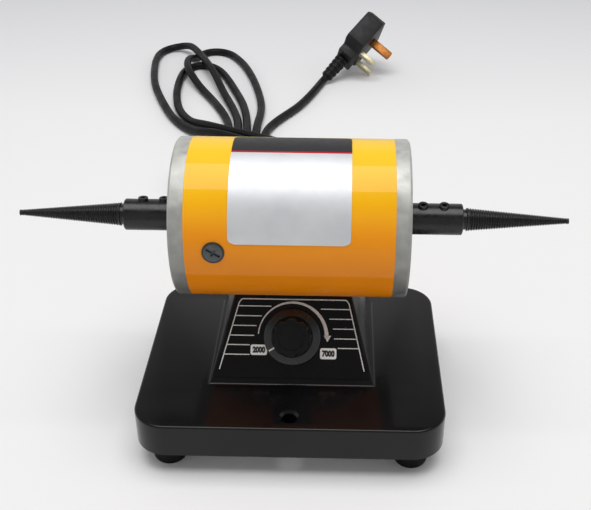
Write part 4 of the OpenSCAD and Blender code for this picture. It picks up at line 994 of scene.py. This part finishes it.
# %% Ribbed reliefs, by a rule
def ribbed_rule(around=40):
    r = Rule("ribbed_relief", {"Length": 0.03, "Start Radius": 0.006, "End Radius": 0.004,
                               "Ribs": 6, "Rib Height": 0.0007, "Rib Width": 0.002})
    core = r.made("GeometryNodeMeshCone", {
        "Vertices": around, "Radius Top": r.named("End Radius"),
        "Radius Bottom": r.named("Start Radius"), "Depth": r.named("Length")}, fill_type="NGON")
    step = r.sum("DIVIDE", r.named("Length"), r.named("Ribs"))
    row = r.made("GeometryNodeMeshLine", {
        "Count": r.named("Ribs"), "Start Location": r.vector(0, 0, r.sum("MULTIPLY", step, 0.5)),
        "Offset": r.vector(0, 0, step)})
    rib = r.made("GeometryNodeMeshCylinder", {"Vertices": around, "Radius": 1.0, "Depth": 1.0})
    share = r.sum("DIVIDE", r.position()[2], r.named("Length"))
    taper = r.sum("SUBTRACT", r.named("End Radius"), r.named("Start Radius"))
    local = r.sum("ADD", r.sum("MULTIPLY_ADD", taper, share, r.named("Start Radius")),
                  r.named("Rib Height"))
    rings = r.instanced(row, rib, r.vector(local, local, r.named("Rib Width")))
    both = r.add("GeometryNodeJoinGeometry")
    r.feed(core, both.inputs[0])
    r.feed(rings, both.inputs[0])
    r.finish(both.outputs[0])
    return r


soft_black = grained("relief_rubber", "#0e0e10", 0.5, 0, 8, 0.2, 0.5, 0.02, specular=0.25)
ribs = ribbed_rule()


def softened(obj):
    return bevelled(obj, "ANGLE", width_mm=0.3, segments=2, crisp=32, angle=40)


def out_of_base(y):
    """Places a piece on the line of the cord's outlet, pointing out, with its foot at y."""
    spot = Vector((BOOT_END[0], y, BOOT_END[2])) * MM
    return Matrix.Translation(spot) @ Matrix.Rotation(-math.pi / 2, 4, "X")


boot = ribs.make("bend_boot", {
    "Length": 33.6 * MM, "Start Radius": 6.2 * MM, "End Radius": 3.9 * MM, "Ribs": 8,
    "Rib Height": 0.75 * MM, "Rib Width": 2.2 * MM, "Material": soft_black})
stand_in(softened(placed(boot, out_of_base(68.3))), "stator", "cord_black")
flange = revolved("boot_flange", [
    (-5.7, 2.0), (-5.7, 7.0), (-2.9, 7.0), (-2.9, 5.75), (0.1, 5.75), (0.1, 7.1), (0.4, 7.4),
    (3.6, 7.4), (4.3, 6.6), (4.3, 2.0)], out_of_base(64), soft_black)
stand_in(flange, "stator", "cord_black", "cord_boot")
boot_tip = revolved("boot_tip", [(0, 2.0), (0, 4.3), (3.2, 4.3), (3.8, 3.9), (3.8, 2.0)],
                    out_of_base(98.2), soft_black)
stand_in(boot_tip, "stator", "cord_black")
relief = ribs.make("plug_relief_ribs", {
    "Length": RELIEF_LEN * MM, "Start Radius": 4.7 * MM, "End Radius": 6.1 * MM, "Ribs": 5,
    "Rib Height": 0.9 * MM, "Rib Width": 3.1 * MM, "Material": soft_black})
relief_start = Matrix.Translation(RELIEF_END * MM) @ PLUG_TURN
placed(relief, relief_start @ Matrix.Rotation(math.pi / 2, 4, "Y"))
stand_in(softened(relief), "stator", "cord_black", "plug_relief")

# %% Plug
plug_black = grained("plug_plastic", "#1b1b1d", 0.48, 0, 12, 0.12, 0.5, 0.02, specular=0.3)
plug = rounded("plug_body", "plug_moulding", 1.3, plug_black, angle=30)
stand_in(plug, "stator", "plug_black", "plug_body")
copper = grained("pin_copper", "#b9783f", 0.4, 0.85, 3, 0.2, 0.4, 0.01)
pale = grained("pin_pale_brass", "#cfc6a6", 0.38, 0.6, 3, 0.1, 0.4, 0.01)
for node, name, mat, slot_name in (
        ("plug_earth_pin", "earth_pin", copper, "pin_copper"),
        ("plug_line_pins", "line_pins", pale, "pin_brass")):
    stand_in(rounded(node, name, 0.4, mat, angle=30), "stator", slot_name, node)
print("plug made")

# %% [markdown]
# ## Finishes for the pieces that keep their CAD shape
# The rest keep the exact solid and get their finish. Turned steel has fine rings round its axis,
# laminations are stripes along the shaft, wire shows as close turns, a board has copper tracks
# under green lacquer. Pieces that seldom show still get the finish they have on a bench.

# %% Striped finishes
WAVES_PER_UNIT = 3.18


def striped(name, low, high, size_mm, axis, rough, metal, depth, wobble=1.5):
    """Bands `size_mm` wide across one axis: turned marks, laminations or wound wire."""
    f = Finish(name, rough=rough, metal=metal)
    w = f.add("ShaderNodeTexWave", wave_type="BANDS", bands_direction=axis)
    for key, value in (("Scale", 1 / (size_mm * MM) / WAVES_PER_UNIT), ("Distortion", wobble),
                       ("Detail", 3), ("Vector", f.place)):
        f.feed(value, w.inputs[key])
    f.colour(f.ramp(w.outputs["Fac"], [(0.15, rgb(low)), (0.85, rgb(high))]))
    f.gloss(f.spread(f.noise(3, 3), max(0.05, rough - 0.1), rough + 0.1))
    f.bump(w.outputs["Fac"], depth)
    return f.mat


def tracked():
    """Green lacquer over copper tracks."""
    f = Finish("board_lacquer", rough=0.35, coat=0.3)
    v = f.add("ShaderNodeTexVoronoi", distance="CHEBYCHEV", feature="DISTANCE_TO_EDGE")
    v.inputs["Scale"].default_value = 160
    f.feed(f.place, v.inputs["Vector"])
    f.colour(f.ramp(v.outputs["Distance"], [(0.06, rgb("#1f5330")), (0.09, rgb("#3f8a4e"))]))
    f.gloss(f.spread(f.noise(8, 3), 0.28, 0.42))
    f.bump(v.outputs["Distance"], 0.05)
    return f.mat


def clear_glass():
    f = Finish("fuse_glass", rough=0.05)
    f.shader.inputs["Transmission Weight"].default_value = 0.85
    f.colour(f.ramp(f.noise(4, 2), [(0.3, rgb("#dfe6e6")), (0.7, rgb("#f2f5f5"))]))
    f.bump(f.noise(1.5, 1), 0.005)
    return f.mat


print("striped finishes ready")

# %% Finish of each slot
# grained: colour, roughness, metal, patch, drift, grain and depth. striped: two colours, width,
# axis, roughness, metal, depth and wobble.
FINISHES = {
    "plate_zinc": grained("zinc_plate", "#a3a5a8", 0.35, 0.8, 14, 0.12, 1.0, 0.01),
    "screw_steel": grained("screw_zinc", "#9b9da1", 0.32, 0.9, 2, 0.15, 0.3, 0.01),
    "foot_rubber": rubber,
    "panel_black": grained("panel_enamel", "#090909", 0.3, 0, 10, 0.2, 0.4, 0.008, specular=0.16),
    "pot_case": grained("pot_steel", "#94979a", 0.38, 0.85, 5, 0.1, 0.5, 0.01),
    "nickel": grained("nickel", "#c2c3c1", 0.2, 1.0, 3, 0.08, 0.3, 0.005),
    "black_oxide": oxide,
    "board_green": tracked(),
    "standoff_brass": striped("turned_brass", "#b9a055", "#d9c27c", 0.3, "Z", 0.28, 0.95, 0.01),
    "sink_aluminium": striped("drawn_aluminium", "#a9abae", "#cbcdd0", 0.5, "Z", 0.38, 0.9, 0.01),
    "epoxy_black": grained("epoxy", "#232326", 0.55, 0, 3, 0.2, 0.3, 0.02),
    "film_blue": grained("capacitor_sleeve", "#2c4d7a", 0.3, 0, 6, 0.1, 0.6, 0.01, coat=0.3),
    "copper_wire": striped("choke_wire", "#6e3d17", "#b87a3c", 0.7, "X", 0.3, 0.7, 0.12, 4.0),
    "terminal_green": grained("terminal_plastic", "#3d7a4c", 0.45, 0, 5, 0.1, 0.5, 0.02),
    "fuse_glass": clear_glass(),
    "clip_brass": grained("clip_brass", "#bfae68", 0.3, 0.95, 2, 0.12, 0.3, 0.01),
    "ferrite": grained("ferrite", "#3a3b3e", 0.6, 0.1, 3, 0.2, 0.4, 0.04),
    "bakelite": phenolic,
    "carbon": striped("pressed_carbon", "#1d1d1f", "#35353a", 0.4, "Z", 0.55, 0.2, 0.01),
    "spring_steel": grained("spring_steel", "#bab6aa", 0.25, 0.95, 1, 0.1, 0.2, 0.01),
    "grommet_rubber": rubber,
    "lead_sleeve": grained("lead_sleeve", "#8a2f2a", 0.45, 0, 6, 0.12, 0.5, 0.02),
    "bearing_steel": striped("ground_steel", "#bfc1c4", "#dcdee0", 0.25, "X", 0.15, 1.0, 0.002),
    "shaft_steel": striped("turned_steel", "#7c7f83", "#a5a8ac", 0.35, "X", 0.3, 0.95, 0.006),
    "core_steel": striped("laminations", "#45474a", "#7b7e82", 0.5, "X", 0.45, 0.6, 0.05, 0.2),
    "winding_copper": striped("winding_wire", "#7d3d18", "#cf7a3c", 0.8, "Y", 0.3, 0.7, 0.15, 3.0),
    "commutator_copper": striped("commutator_bars", "#9a5a30", "#cf8d58", 0.5, "X", 0.28, 0.95,
                                 0.01),
    "nylon": grained("nylon", "#e4e0d4", 0.45, 0, 5, 0.05, 0.6, 0.02),
    "cord_black": soft_black,
    "plug_black": plug_black,
    "pin_copper": copper,
    "pin_brass": pale,
}
dressed = 0
for part in frame["record"]["subparts"]:
    mat = FINISHES.get(part["material_slot"])
    if mat:
        mesh = NODES[part["node"]].data
        mesh.materials.clear()
        mesh.materials.append(mat)
        dressed += 1
print("CAD nodes finished:", dressed)
